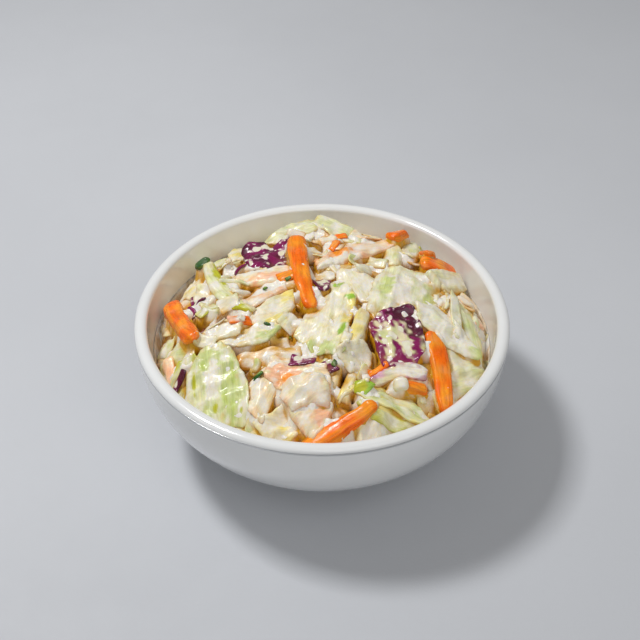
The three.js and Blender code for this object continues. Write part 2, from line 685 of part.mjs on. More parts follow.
const coleslaw = new THREE.Mesh(heapGeometry(), dressedSlaw);
coleslaw.name = "coleslaw";

const bowlOfColeslaw = new THREE.Group();
bowlOfColeslaw.add(bowl, coleslaw);

export default bowlOfColeslaw;
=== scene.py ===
"""A white porcelain bowl heaped with coleslaw: chopped cabbage, carrot batons, red cabbage, onion and herbs
in a creamy dressing. Lengths are in millimetres and colours in sRGB until a mesh or a material is made."""

import math
from collections import namedtuple
from functools import lru_cache, partial

import bpy
import numpy as np
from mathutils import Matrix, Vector


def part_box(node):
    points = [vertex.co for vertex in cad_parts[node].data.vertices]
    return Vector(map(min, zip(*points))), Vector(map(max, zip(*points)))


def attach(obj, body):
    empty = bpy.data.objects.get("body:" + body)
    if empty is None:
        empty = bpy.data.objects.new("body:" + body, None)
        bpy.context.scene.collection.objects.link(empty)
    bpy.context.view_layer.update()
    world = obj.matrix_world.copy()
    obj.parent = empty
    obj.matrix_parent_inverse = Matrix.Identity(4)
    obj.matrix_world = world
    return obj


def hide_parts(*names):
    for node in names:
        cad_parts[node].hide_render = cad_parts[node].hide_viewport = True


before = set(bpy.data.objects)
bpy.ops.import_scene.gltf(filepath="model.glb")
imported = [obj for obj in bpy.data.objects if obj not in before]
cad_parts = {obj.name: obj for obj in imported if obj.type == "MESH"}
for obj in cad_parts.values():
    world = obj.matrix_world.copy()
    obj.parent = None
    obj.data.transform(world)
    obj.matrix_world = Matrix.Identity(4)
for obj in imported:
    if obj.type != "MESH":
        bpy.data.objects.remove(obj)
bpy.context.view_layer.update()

bl_info = {
    "name": "Bowl of Coleslaw",
    "version": (1, 0, 0),
    "blender": (4, 5, 0),
    "location": "3D View > Sidebar > Coleslaw",
    "description": "Makes a porcelain bowl heaped with dressed coleslaw",
    "category": "Add Mesh",
}

METRE = 0.001  # one millimetre in metres
TAU = 2 * math.pi
GOLDEN_ANGLE = math.pi * (3 - math.sqrt(5))

# Bowl, as in the frame
RIM_RADIUS = 1000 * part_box("bowl")[1].x
BOWL_HEIGHT = 1000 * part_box("bowl")[1].z
BODY_DEPTH = 47.4
BODY_POWER = 2.5
LIP_WIDTH = 4.4
LIP_ROUNDING = 1.7
FLOOR_THICKNESS = 4.5
FOOT_RADIUS = 34
FOOT_WIDTH = 3.4
FOOT_HEIGHT = 5.2
FOOT_FLARE = 0.4
FOOT_ROUNDING = 0.6
FOOT_RECESS = 2.6
FOOT_SEAM = 0.6  # the foot's side ends this far below its full height
RECESS_ROUNDING = 1
FOOT_ANGLE = 1.09
LIP_ANGLE = 0.013
INNER_RADIUS = RIM_RADIUS - LIP_WIDTH
INNER_DEPTH = BODY_DEPTH - FLOOR_THICKNESS

# Heap, as in the frame
WALL_GAP = 0.35
CORE_GAP = 0.6
EDGE_HEIGHT = 34
CROWN_HEIGHT = 50
DOME_POWER = 3.7
DOME_FULLNESS = 0.9
LEAN_X = 0.015
LEAN_Y = 0.045
LUMP_HEIGHT = 0.7
LUMP_LENGTH = 13
PIECE_LIMIT = 58.8
THICKNESS = {"leaf": 1.5, "shred": 2, "stick": 3.4, "carrot": 4.6, "fillLeaf": 2.4, "fillShred": 2.4,
             "underLeaf": 1.4, "chip": 1.2, "thread": 1.3}
FILL_LENGTH = (12, 23)
FILL_SHRED_WIDTH = (2.5, 4.3)
FILL_LEAF_SHAPE = (0.55, 0.8)
LEAF_ROUNDNESS = 3
RIPPLE = (0.5, 1)
RIPPLE_SHARE = 0.45  # the ripple is gentler here, as the folds add to it
RIPPLE_LENGTH = 12
LEAST_SAMPLED = 6
BEDDING = 0.5
REST_SHARE = 0.72
FILL_LEAVES = 24
FILL_SHREDS = 20
ROOM_RADIUS = INNER_RADIUS - WALL_GAP

# Beds: grids of heights that pieces come to rest on. The plan bed settles the larger pieces as in the frame,
# and the fine bed, which starts lower, takes their full surfaces
PLAN_CELL = 1.5
PLAN_CELLS = 83
FINE_CELL = 0.5
FINE_CELLS = 263
FINE_DROP = 2.6
COVER_RINGS = 14
COVER_TURNS = 60

# Seeds of the random numbers. A piece's index is added to the seeds of its own runs
SETTLE_SEED = 1000
FOLD_SEED = 5000
DIMPLE_SEED = 5500
RIB_SEED = 6000
LEAF_SEED = 7000
BAR_SEED = 7500
TINT_SEED = 8000
COAT_SEED = 8500
OUTLINE_SEED = 9000
UNDER_LEAF_SEED = 500
FILL_LEAF_SEED = 100
FILL_SHRED_SEED = 200
CUT_SEED = 300
CORE_SEED = 400
POOL_SEED = 450

# The larger pieces are counted from 0, and the others from these
UNDER_LEAF_INDEX = 2000
SMALL_CUT_INDEX = 3000


def draw_from(seed):
    """A seeded source of random numbers: draw(low, high) gives the next one."""
    state = (seed * 7919 + 101) & 0xFFFFFFFF

    def draw(low=0.0, high=1.0):
        nonlocal state
        state = (state * 1664525 + 1013904223) & 0xFFFFFFFF
        return low + (high - low) * state / 2**32

    draw()
    return draw


def smooth_step(low, high, value):
    share = np.clip((value - low) / (high - low), 0, 1)
    return share * share * (3 - 2 * share)


def blend(first, second, share):
    return first + (second - first) * share


def smooth_max(first, second, softness):
    """The larger of two values, rounded where they meet."""
    share = np.clip(0.5 + 0.5 * (first - second) / softness, 0, 1)
    return blend(second, first, share) + softness * share * (1 - share)


def waves(a, b, draw, length, count=6):
    """A gently random field with features of one length, of about unit height."""
    total = np.zeros_like(a)
    for _ in range(count):
        turn = draw(0, TAU)
        number = TAU / (length * draw(0.7, 1.4))
        phase = draw(0, TAU)
        total += np.cos(number * (a * math.cos(turn) + b * math.sin(turn)) + phase)
    return total / math.sqrt(count / 2)


def box_blur(grid, reach):
    """Averages a grid over squares, twice along each axis."""
    for axis in (0, 1, 0, 1):
        before = np.repeat(grid.take([0], axis), reach + 1, axis)
        after = np.repeat(grid.take([-1], axis), reach, axis)
        sums = np.cumsum(np.concatenate([before, grid, after], axis), axis)
        count = grid.shape[axis]
        upper = sums.take(range(2 * reach + 1, 2 * reach + 1 + count), axis)
        lower = sums.take(range(0, count), axis)
        grid = (upper - lower) / (2 * reach + 1)
    return grid


def widest(grid, reach):
    """The highest value within a round reach of each cell."""
    padded = np.pad(grid, reach, mode="edge")
    rows, columns = grid.shape
    best = grid.copy()
    for j in range(-reach, reach + 1):
        for i in range(-reach, reach + 1):
            if i * i + j * j <= reach * reach + 1:
                shifted = padded[reach + j : reach + j + rows, reach + i : reach + i + columns]
                np.maximum(best, shifted, out=best)
    return best


def closed(grid, reach):
    """Fills the gaps of a grid of heights that a ball of that reach doesn't enter."""
    return -widest(-widest(grid, reach), reach)


def superellipse(radius, depth, angle):
    r = radius * max(0.0, math.cos(angle)) ** (2 / BODY_POWER)
    return r, BOWL_HEIGHT - depth * math.sin(angle) ** (2 / BODY_POWER)


def wall_height(radius):
    """The height of the bowl's inner surface at a distance from its axis."""
    share = np.minimum(1, radius / INNER_RADIUS)
    return BOWL_HEIGHT - INNER_DEPTH * (1 - share**BODY_POWER) ** (1 / BODY_POWER)


def dome_height(x, y):
    share = np.minimum(1, np.hypot(x, y) / ROOM_RADIUS)
    rise = (1 - share**DOME_POWER) ** DOME_FULLNESS
    k = TAU / LUMP_LENGTH
    lump = np.sin(k * x + 1.3 * np.sin(0.6 * k * y)) + np.sin(k * y + 1.7 * np.cos(0.7 * k * x))
    dome = EDGE_HEIGHT + (CROWN_HEIGHT - EDGE_HEIGHT) * rise
    return dome + LEAN_X * x + LEAN_Y * y + LUMP_HEIGHT * lump * np.sqrt(rise)


class Bed:
    """The top of the heap as it is built up."""

    def __init__(self, cell, z):
        self.cell = cell
        self.z = z
        self.last = len(z) - 1
        self.half = cell * self.last / 2

    def at(self, x, y):
        u = np.clip((x + self.half) / self.cell, 0, self.last - 0.001)
        v = np.clip((y + self.half) / self.cell, 0, self.last - 0.001)
        i = u.astype(int)
        j = v.astype(int)
        fu = u - i
        fv = v - j
        near = blend(self.z[j, i], self.z[j, i + 1], fu)
        far = blend(self.z[j + 1, i], self.z[j + 1, i + 1], fu)
        return blend(near, far, fv)

    def raise_to(self, x, y, heights):
        i = np.clip(np.rint((x + self.half) / self.cell).astype(int), 0, self.last)
        j = np.clip(np.rint((y + self.half) / self.cell).astype(int), 0, self.last)
        np.maximum.at(self.z, (j.ravel(), i.ravel()), heights.ravel())

    def with_heights(self, z):
        return Bed(self.cell, z)


def domed_bed(cell, cells, drop=0.0):
    line = cell * (np.arange(cells) - (cells - 1) / 2)
    x, y = np.meshgrid(line, line)
    return Bed(cell, dome_height(x, y) - drop)


class Piece:
    """One cut piece. Its shape is bend (sideways bow), curl (long edges turned up), arch (ends turned down),
    rise (tail above head), roll (left edge above right) and lift (above where it would lie), in millimetres.
    Its look is a tint, the height of its folds and the share of it that the dressing covers. An outline's
    corners and the places and reaches of its marks are shares of its half length and half width, and taper is
    the share of a bar's width that is gone at its head."""

    def __init__(self, kind, x, y, heading, length, width, tint="cream", folds=0.8, coat=0.5,
                 outline=None, marks=(), thick=None, taper=0.08, **shape):
        self.kind = kind
        self.x = x
        self.y = y
        self.heading = math.radians(heading)
        self.length = length
        self.width = width
        self.tint = tint
        self.folds = folds
        self.coat = coat
        self.group = TINTED_GROUPS.get(tint) or GROUPS[kind]
        self.outline = outline
        self.marks = marks
        self.taper = taper
        self.thickness = thick or THICKNESS[kind]
        self.is_leaf = kind.lower().endswith("leaf")
        self.is_flat = kind not in SIDES
        for name in ("bend", "curl", "arch", "rise", "roll", "lift"):
            setattr(self, name, shape.get(name, 0))

    def to_plan(self, a, b):
        u = 2 * a / self.length
        side = b + self.bend * (1 - u * u)
        c = math.cos(self.heading)
        s = math.sin(self.heading)
        return self.x + a * c - side * s, self.y + a * s + side * c

    def relief(self, a, b):
        """How far the piece's own form stands above the flat."""
        u = 2 * a / self.length
        v = 2 * b / self.width
        k = TAU / RIPPLE_LENGTH
        ripple = self.ripple * np.sin(k * a + self.phase) * np.cos(k * b - self.phase)
        tilt = 0.5 * (self.roll * v - self.rise * u)
        return self.curl * (v * v - 1 / 3) + self.arch * (1 / 3 - u * u) + tilt + ripple

    def keep_inside(self, limit):
        for _ in range(3):
            reaches = [math.hypot(*self.to_plan(a, b)) for a, b in self.corners]
            over = max(0, max(reaches) - limit)
            r = math.hypot(self.x, self.y)
            self.x -= over * self.x / r
            self.y -= over * self.y / r

    def lean(self, bed):
        """Finds the plane that fits the bed below, and the height where most of the piece clears it."""
        across = max(self.width, LEAST_SAMPLED)
        shares = np.array([-0.4, -0.2, 0, 0.2, 0.4])
        a, b = (grid.ravel() for grid in np.meshgrid(shares * self.length, shares * across, indexing="ij"))
        heights = bed.at(*self.to_plan(a, b))
        self.slope_a = (a * heights).sum() / (a * a).sum()
        self.slope_b = (b * heights).sum() / (b * b).sum()
        lifts = heights - self.slope_a * a - self.slope_b * b - self.relief(a, b * self.width / across)
        rest = np.sort(lifts)[round(REST_SHARE * (len(lifts) - 1))]
        self.base = rest - BEDDING * self.thickness + self.lift

    def cover(self, bed):
        """Raises the plan bed to the piece's upper face."""
        rings = np.arange(COVER_RINGS + 1)[:, None] / COVER_RINGS
        step = np.arange(COVER_TURNS) * len(self.corners) / COVER_TURNS
        corners = np.array(self.corners)
        before = step.astype(int) % len(corners)
        along = (step - np.floor(step))[:, None]
        outline = blend(corners[before], corners[(before + 1) % len(corners)], along)
        a = rings * outline[:, 0]
        b = rings * outline[:, 1]
        x, y = self.to_plan(a, b)
        under = self.base + self.slope_a * a + self.slope_b * b + self.relief(a, b)
        under = np.maximum(under, wall_height(np.hypot(x, y)) + WALL_GAP + CORE_GAP)
        bed.raise_to(x, y, under + self.thickness)

    def settle(self, bed, index, limit=PIECE_LIMIT):
        draw = draw_from(SETTLE_SEED + index)
        self.phase = draw(0, TAU)
        self.ripple = RIPPLE_SHARE * draw(*RIPPLE) if self.is_leaf else 0
        if self.outline:
            self.corners = [(0.5 * self.length * u, 0.5 * self.width * v) for u, v in self.outline]
        else:
            self.corners = leaf_corners(self, draw) if self.is_leaf else bar_corners(self)
        self.seed = index
        self.keep_inside(limit)
        self.lean(bed)


# The mesh that each cut is part of: by its tint, or else by its kind
TINTED_GROUPS = {"carrot": "carrot_batons", "purple": "red_cabbage", "plum": "red_cabbage",
                 "dappled": "red_cabbage", "onion": "onion_strips", "herb": "herbs"}
GROUPS = {"leaf": "cabbage_leaves", "fillLeaf": "cabbage_under_leaves", "underLeaf": "cabbage_under_leaves",
          "shred": "cabbage_shreds", "fillShred": "cabbage_shreds", "stick": "cabbage_shreds",
          "thread": "cabbage_shreds", "chip": "cabbage_chips"}

KINDS = ("leaf", "shred", "stick", "carrot", "chip", "thread")
leaf, shred, stick, carrot, chip, thread = (partial(Piece, kind) for kind in KINDS)


def leaf_corners(piece, draw):
    count = math.floor(draw(5, 7))
    corners = []
    for i in range(count):
        turn = TAU * (i + draw(-0.25, 0.25)) / count
        c = math.cos(turn)
        s = math.sin(turn)
        roundness = abs(c) ** LEAF_ROUNDNESS + abs(s) ** LEAF_ROUNDNESS
        reach = draw(0.88, 1.1) / roundness ** (1 / LEAF_ROUNDNESS)
        corners.append((0.5 * piece.length * reach * c, 0.5 * piece.width * reach * s))
    return corners


def bar_corners(piece):
    a = 0.5 * piece.length
    b = 0.5 * piece.width
    return [(a, b), (-a, b), (-a, -b), (a, -b)]


def spread(kind, count, seed, look_of):
    """Pieces spread evenly by the golden angle."""
    pieces = []
    for i in range(count):
        draw = draw_from(seed + i)
        r = PIECE_LIMIT * math.sqrt((i + 0.5) / count)
        turn = i * GOLDEN_ANGLE + draw(0, 0.5)
        length = draw(*FILL_LENGTH)
        heading = draw(0, 360)
        width, shape = look_of(length, draw)
        x = r * math.cos(turn)
        y = r * math.sin(turn)
        pieces.append(Piece(kind, x, y, heading, length, width, FILL_TINTS[i % len(FILL_TINTS)], **shape))
    return pieces


def fill_leaf_look(length, draw):
    width = length * draw(*FILL_LEAF_SHAPE)
    return width, {"curl": draw(-1, 2), "rise": draw(-2.5, 2.5), "roll": draw(-2, 2)}


def fill_shred_look(length, draw):
    width = draw(*FILL_SHRED_WIDTH)
    return width, {"bend": draw(-2, 2), "arch": draw(0, 2), "rise": draw(-2, 2)}


FILL_TINTS = ("cream", "peach", "green", "cream", "yellow", "pale", "cream", "green")


def shown_pieces():
    """The pieces that are told apart in the heap, in the order in which they were laid."""
    return [
        # Along the back
        leaf(-41, 38, 20, 15, 12, "pale", curl=1),
        leaf(-29, 36, 60, 16, 13, "yellow", arch=1.5),
        # This leaf is tinted with the warm tan of the painted shade.
        leaf(1, 42, 80, 14, 12, "amber", 1.2, 0.5, curl=-2),
        leaf(-11, 46, 22, 26, 11, "pale", 0.5, 0.4, arch=2, roll=4, lift=1.5,
             outline=[(1, 0.4), (0.6, 1), (-0.3, 0.6), (-1, -0.2), (-0.6, -0.9), (0.4, -1), (1, -0.5)]),
        leaf(7, 44, -30, 23, 10, "pale", 0.5, 0.4, arch=2, roll=4, lift=1.5,
             outline=[(1, 0.2), (0.5, 0.8), (-0.3, 1), (-1, 0.8), (-1, -0.4), (-0.1, -1), (0.8, -0.7)]),
        leaf(18, 44, 15, 15, 8, "peach", arch=1),
        leaf(34, 39, 84, 17, 9, "pale", 0.4, 0.5, arch=1, curl=-1.5),
        shred(26, 32, 86, 14, 8, "pale", 0.3, 0.6, curl=-2.5),
        # This shred's dressing mark is a painted highlight in the dressing's colour.
        shred(12, 30, 30, 33, 9, "blush", 0.6, 0.55, thick=2.4, bend=1.5, arch=1.5, curl=-1,
              outline=[(1, 0.7), (0.1, 1), (-0.9, 0.8), (-1, -0.4), (-0.3, -1), (0.6, -0.7), (1, -0.4)],
              marks=[("carrot_light", -0.3, 0.2, 0.25, 0.5), ("dressing", -0.7, -0.5, 0.5, 0.4)]),
        # At the right, near the wall
        carrot(47, 30, 5, 14, 7, "carrot", arch=1.5),
        carrot(39, 33, -80, 9, 5, "carrot"),
        stick(28, 42, 60, 9, 7, "carrot", 0.4, 0.05, thick=5, lift=2.5),
        leaf(48, 21, 28, 17, 10, "cream", 0.3, 0.6, thick=2.6, arch=1.5,
             outline=[(1, 0.9), (0, 0.8), (-1, 0.6), (-1, -0.6), (-0.4, -1), (0.5, -0.6), (1, 0)]),
        stick(52, 14, 80, 8, 6.5, "peach"),
        stick(55, 5, 100, 7, 5, "blush"),
        leaf(50, 2, 60, 15, 12, "green", 1.0, 0.6, curl=1.5),
        shred(55, -8, 98, 24, 6.5, "green", 0.4, 0.4, bend=-1, roll=-1),
        leaf(47, -22, 30, 19, 16, "pale", 0.4, 0.6,
             outline=[(-0.2, 1), (0.9, 0.5), (1, -0.3), (0, -0.9), (-1, -1), (-0.8, 0.1)]),
        leaf(46.5, -1, 100, 22, 6, "olive", 0.3, 0.5, thick=1.3, roll=3, lift=1,
             outline=[(1, -0.3), (0.7, -1), (-0.3, -0.4), (-1, 0), (-1, 1), (0, 0.7)]),
        # The middle
        leaf(14, 11, 110, 21, 15, "cream", 0.5, 0.8, curl=-1.5,
             outline=[(1, 0.7), (0.5, 1), (-0.6, 0.6), (-1, 0), (-0.9, -0.5), (0, -1), (0.9, -0.6)]),
        leaf(29, 5.5, 78, 33, 24, "pale", 0.45, 0.6, thick=1.8, curl=-2.5, arch=2.5, roll=2,
             outline=[(0.6, 1), (1, 0.6), (1, -0.4), (0.8, -0.9), (0.3, -1), (-0.3, -0.9), (-0.9, -0.9),
                      (-0.7, -0.2), (-0.9, 0.6), (-0.6, 1)],
             marks=[("leaf_green", 0.2, 0.55, 0.35, 0.2), ("leaf_green", -0.1, -0.7, 0.5, 0.2),
                    ("dressing", 0.1, 0.1, 0.6, 0.2)]),
        # These two strips are tinted with the warm tan of the painted shade.
        shred(-18, -22, 2, 24, 7, "amber", 0.6, 0.6, arch=1, curl=-1),
        shred(-17, 10.5, 0, 15, 5, "amber", 0.5, 0.4, arch=1, lift=-0.8,
              outline=[(1, 0.7), (0, 1), (-1, 0.9), (-0.9, -0.5), (0, -1), (1, -0.8)]),
        leaf(3, -5, 76, 39, 20, "cream", 0.9, 0.65, curl=1.5, roll=-2, lift=0.8,
             outline=[(1, 0.3), (0.5, -0.7), (-0.3, -0.75), (-1, -1), (-1, -0.1), (-0.6, 1), (-0.1, 0.95),
                      (0.5, 0.75)],
             marks=[("yellow", 0.2, -0.65, 0.6, 0.2), ("leaf_green", 0.5, 0.75, 0.4, 0.3),
                    ("leaf_green", -0.9, 0.1, 0.2, 0.9), ("bright_green", -0.45, -0.6, 0.14, 0.14),
                    ("bright_green", 0.75, 0.1, 0.12, 0.2), ("bright_green", 0.4, -0.5, 0.08, 0.15)]),
        leaf(25.3, -16, 100, 26, 19, "dappled", 0.9, 0.33, curl=1.5, arch=-1, lift=1,
             outline=[(0.6, 0.95), (1, 0.1), (1, -0.8), (0.4, -1), (-0.4, -0.9), (-1, -0.3), (-0.9, 0.8),
                      (0, 0.8)],
             marks=[("purple", 0.8, -0.1, 0.4, 0.85), ("plum", 0.8, -0.35, 0.3, 0.45),
                    ("purple", 0.4, 0.95, 0.5, 0.3), ("plum", 0.3, -0.75, 0.6, 0.35),
                    ("purple", -0.5, 0.1, 0.4, 0.15), ("purple", -0.85, 0.1, 0.28, 1),
                    ("purple", -0.35, 0.75, 0.4, 0.22), ("purple", -0.4, -0.6, 0.4, 0.15)]),
        leaf(-19.4, 29.5, 5, 20, 19, "purple", 1.1, 0.26, curl=1.5, arch=0.5, roll=3,
             outline=[(-1, 0.5), (-0.7, 1), (-0.2, 0.9), (0.1, 0.5), (0.7, 1), (1, 0.6), (0.9, -1),
                      (0.2, -0.9), (-0.6, -0.8), (-0.9, -0.3)]),
        stick(12.5, -13, 78, 19, 4.4, "yellow", 0.3, 0.35, lift=1.5),
        leaf(-21.2, -8, 30, 35, 20, "cream", 0.35, 0.7, thick=2, curl=1.2, lift=1,
             outline=[(-1, 0.6), (-0.6, 0.8), (0.2, 0.7), (0.5, 1), (1, 0.8), (0.8, 0.1), (0.3, -0.6),
                      (-0.1, -1), (-0.5, -0.8), (-0.9, -0.2)],
             marks=[("leaf_green", 0, -0.75, 0.3, 0.2), ("yellow", 0.8, 0.6, 0.2, 0.3),
                    ("yellow", 0.3, -0.3, 0.3, 0.2)]),
        leaf(-34, -11, 8, 16, 10, "cream", 0.5, 0.9, curl=-1,
             outline=[(1, 0.4), (0.3, 1), (-0.6, 0.6), (-1, -0.2), (-0.4, -1), (0.7, -0.9)]),
        shred(-22, 16.6, 3, 23, 9, "peach", 0.4, 0.55, thick=2.4, arch=1.2, curl=-0.8, lift=0.3,
              outline=[(-1, -0.1), (-0.7, 0.8), (0.2, 0.7), (0.9, 1), (1, -0.7), (0.5, -1), (-0.2, -0.8),
                       (-0.9, -0.6)],
              marks=[("dressing", -0.2, 0.6, 0.7, 0.3), ("blush", 0.3, -0.3, 0.6, 0.4)]),
        leaf(-44, 20, 62, 20, 13, "yellow", 0.7, 0.7, curl=1,
             outline=[(-0.8, 0.7), (0.9, 1), (1, 0.1), (0.2, -0.6), (-0.6, -1), (-1, -0.6)]),
        leaf(-38, 7, 120, 20, 13, "cream", 0.7, 0.7, curl=1),
        shred(-33, 10.5, -58, 33, 7, "pale", 0.3, 0.4, thick=1.8, bend=-2.5, curl=-1, lift=1,
              outline=[(1, 0.7), (0.4, 1), (-0.4, 1), (-1, 0.7), (-1, -0.5), (-0.2, -1), (0.6, -1),
                       (1, -0.3)],
              marks=[("lime", -0.45, 0.6, 0.4, 0.5), ("lime", 0.75, -0.5, 0.35, 0.5)]),
        shred(-19.7, 5.4, 20, 17, 9, "blush", 0.5, 0.6, thick=2, arch=1.2, roll=1,
              outline=[(-1, 0.1), (-0.2, 1), (1, 0.6), (0.9, -0.1), (0, -0.6), (-0.7, -1), (-1, -0.4)],
              marks=[("dressing", 0.1, 0.5, 0.6, 0.3)]),
        carrot(-6.5, 17, -81, 37, 7.2, "carrot", 0.8, 0.05, taper=0.3, rise=2, bend=-1.2, lift=1.5),
        leaf(0, 11, 100, 10, 7, "purple", 0.6, 0.35, curl=1),
        # At the left, near the wall
        leaf(-50.5, -18.5, -25, 15, 12, "green", 0.9, 0.5, curl=1.5),
        stick(-52.8, -21, -76, 11, 4.5, "blush", coat=0.3, marks=[("carrot_light", 0, 0, 0.7, 0.8)]),
        leaf(-46, -25, 70, 14, 9, "lime", 0.6, 0.3, curl=1),
        carrot(
            -49.7, -1.6, -68, 31, 6.2, "carrot", 0.5, 0.05, thick=5, taper=0.15, bend=-0.6, rise=-1, lift=1,
        ),
        # Along the front
        carrot(39, -26, -83, 27, 7, "carrot", 0.8, 0.05, taper=0.3, bend=0.8, lift=0.5),
        leaf(43, -9, 155, 27, 15, "olive", 0.4, 0.85, curl=-1, roll=-1, lift=0.5,
             outline=[(1, -0.4), (0.6, -1), (0.2, -0.9), (-0.4, -0.4), (-1, 0.3), (-1, 0.6), (-0.1, 1),
                      (0.7, 0.5)],
             marks=[("leaf_green", -0.9, 0.5, 0.25, 0.4)]),
        leaf(16, -49.5, 40, 12, 9, "cream", 1.4, 0.8, curl=1),
        leaf(27, -48, 25, 14, 9, "pale", 1.4, 0.7, curl=1),
        leaf(22, -44, 168, 24, 8, "lime", 0.5, 0.3, bend=1, roll=-2),
        leaf(23.5, -40, 165, 30, 10, "green", 0.5, 0.4, curl=1.5, bend=1, lift=0.5,
             outline=[(1, 0.2), (0.9, -0.6), (0.3, -0.8), (-0.3, -1), (-1, 0.3), (-0.7, 1), (0, 0.7),
                      (0.6, 0.7)],
             marks=[("bright_green", 0.7, -0.5, 0.25, 0.5)]),
        shred(26, -35.5, 5, 11, 5, "cream", 0.4, 0.8, arch=1),
        stick(29.5, -35, 8, 10, 3.4, "carrot", 0.4, 0.05),
        leaf(25.4, -31.2, 10, 20, 8.4, "onion", 0.5, 0.3, curl=-1, arch=1, lift=0.5,
             outline=[(-1, -0.2), (-0.9, -1), (-0.4, -0.5), (0.3, -0.4), (0.8, -0.7), (1, 0.4), (0.5, 1),
                      (-0.4, 0.8)],
             marks=[("dressing", 0.4, 0.1, 0.6, 0.6)]),
        leaf(-13, -47, 10, 17, 11, "yellow", 1.2, 0.7, curl=1),
        carrot(5.5, -52, 26, 27, 6.2, "carrot", 0.8, 0.05, taper=0.4, rise=1, lift=0.5),
        shred(4, -34, 78, 18, 4.5, "yellow", 0.5, 0.4, arch=1),
        shred(9, -35, 70, 14, 4, "yellow", 0.5, 0.4, arch=1),
        leaf(11, -25, 25, 13, 8, "cream", 1.0, 0.7, curl=1),
        leaf(1.5, -30, -5, 9, 4.5, "purple", 0.6, 0.4, curl=1),
        leaf(-20, -36.5, 66, 20, 11, "peach", 0.8, 0.6, arch=1, curl=-1,
             outline=[(0.3, 1), (1, 0.5), (0.8, -0.9), (0, -0.8), (-1, -1), (-0.7, 0.2)]),
        leaf(-8, -31, 175, 23, 14, "peach", 1.0, 0.6, arch=1.5, curl=-1.5,
             outline=[(1, 0.1), (0.8, -1), (-0.1, -0.9), (-0.8, -0.4), (-1, 0.7), (-0.3, 1), (0.4, 0.9)],
             marks=[("blush", 0.4, 0, 0.6, 0.6), ("carrot_light", 0.3, 0.3, 0.25, 0.2)]),
        leaf(-2.5, -45.5, 20, 14, 14, "peach", 0.5, 0.6, thick=3, roll=5,
             outline=[(-0.9, 1), (0.1, 0.9), (1, 0.2), (0.6, -0.4), (-0.4, -1), (-1, 0.4)],
             marks=[("blush", 0.3, -0.1, 0.4, 0.4)]),
        leaf(-5, -40, 30, 15, 15, "peach", 0.8, 0.7, thick=2, curl=-1.5, arch=1, roll=1.5, lift=0.5,
             outline=[(-0.6, 1), (0.4, 0.9), (1, 0.3), (1, -0.3), (0.6, -0.9), (0, -0.5), (-0.8, -0.3),
                      (-1, 0.5)]),
        # The two dressing marks down this leaf's middle are painted highlight: long white patches in the
        # dressing's colour.
        leaf(-35.5, -32, 97, 30, 22, "striped", 0.6, 0.5, arch=2.5, curl=-1, lift=0.8,
             outline=[(1, 0.3), (1, -0.3), (0.6, -0.65), (-0.2, -1), (-1, -0.9), (-0.8, 0.2), (-0.3, 0.95),
                      (0.5, 0.8)],
             marks=[("leaf_green", -0.3, -0.45, 0.6, 0.28), ("leaf_green", 0.6, 0.1, 0.3, 0.35),
                    ("spring_green", 0.15, -0.58, 0.22, 0.07), ("spring_green", -0.3, -0.28, 0.25, 0.07),
                    ("spring_green", 0.5, 0.3, 0.14, 0.08), ("spring_green", -0.6, -0.5, 0.2, 0.06),
                    ("dressing", 0.45, 0, 0.2, 0.12), ("dressing", 0.05, 0.15, 0.3, 0.14),
                    ("lime", 0.2, 0.62, 0.2, 0.06), ("lime", -0.5, 0.05, 0.08, 0.08),
                    ("lime", -0.7, -0.75, 0.06, 0.06)]),
    ]


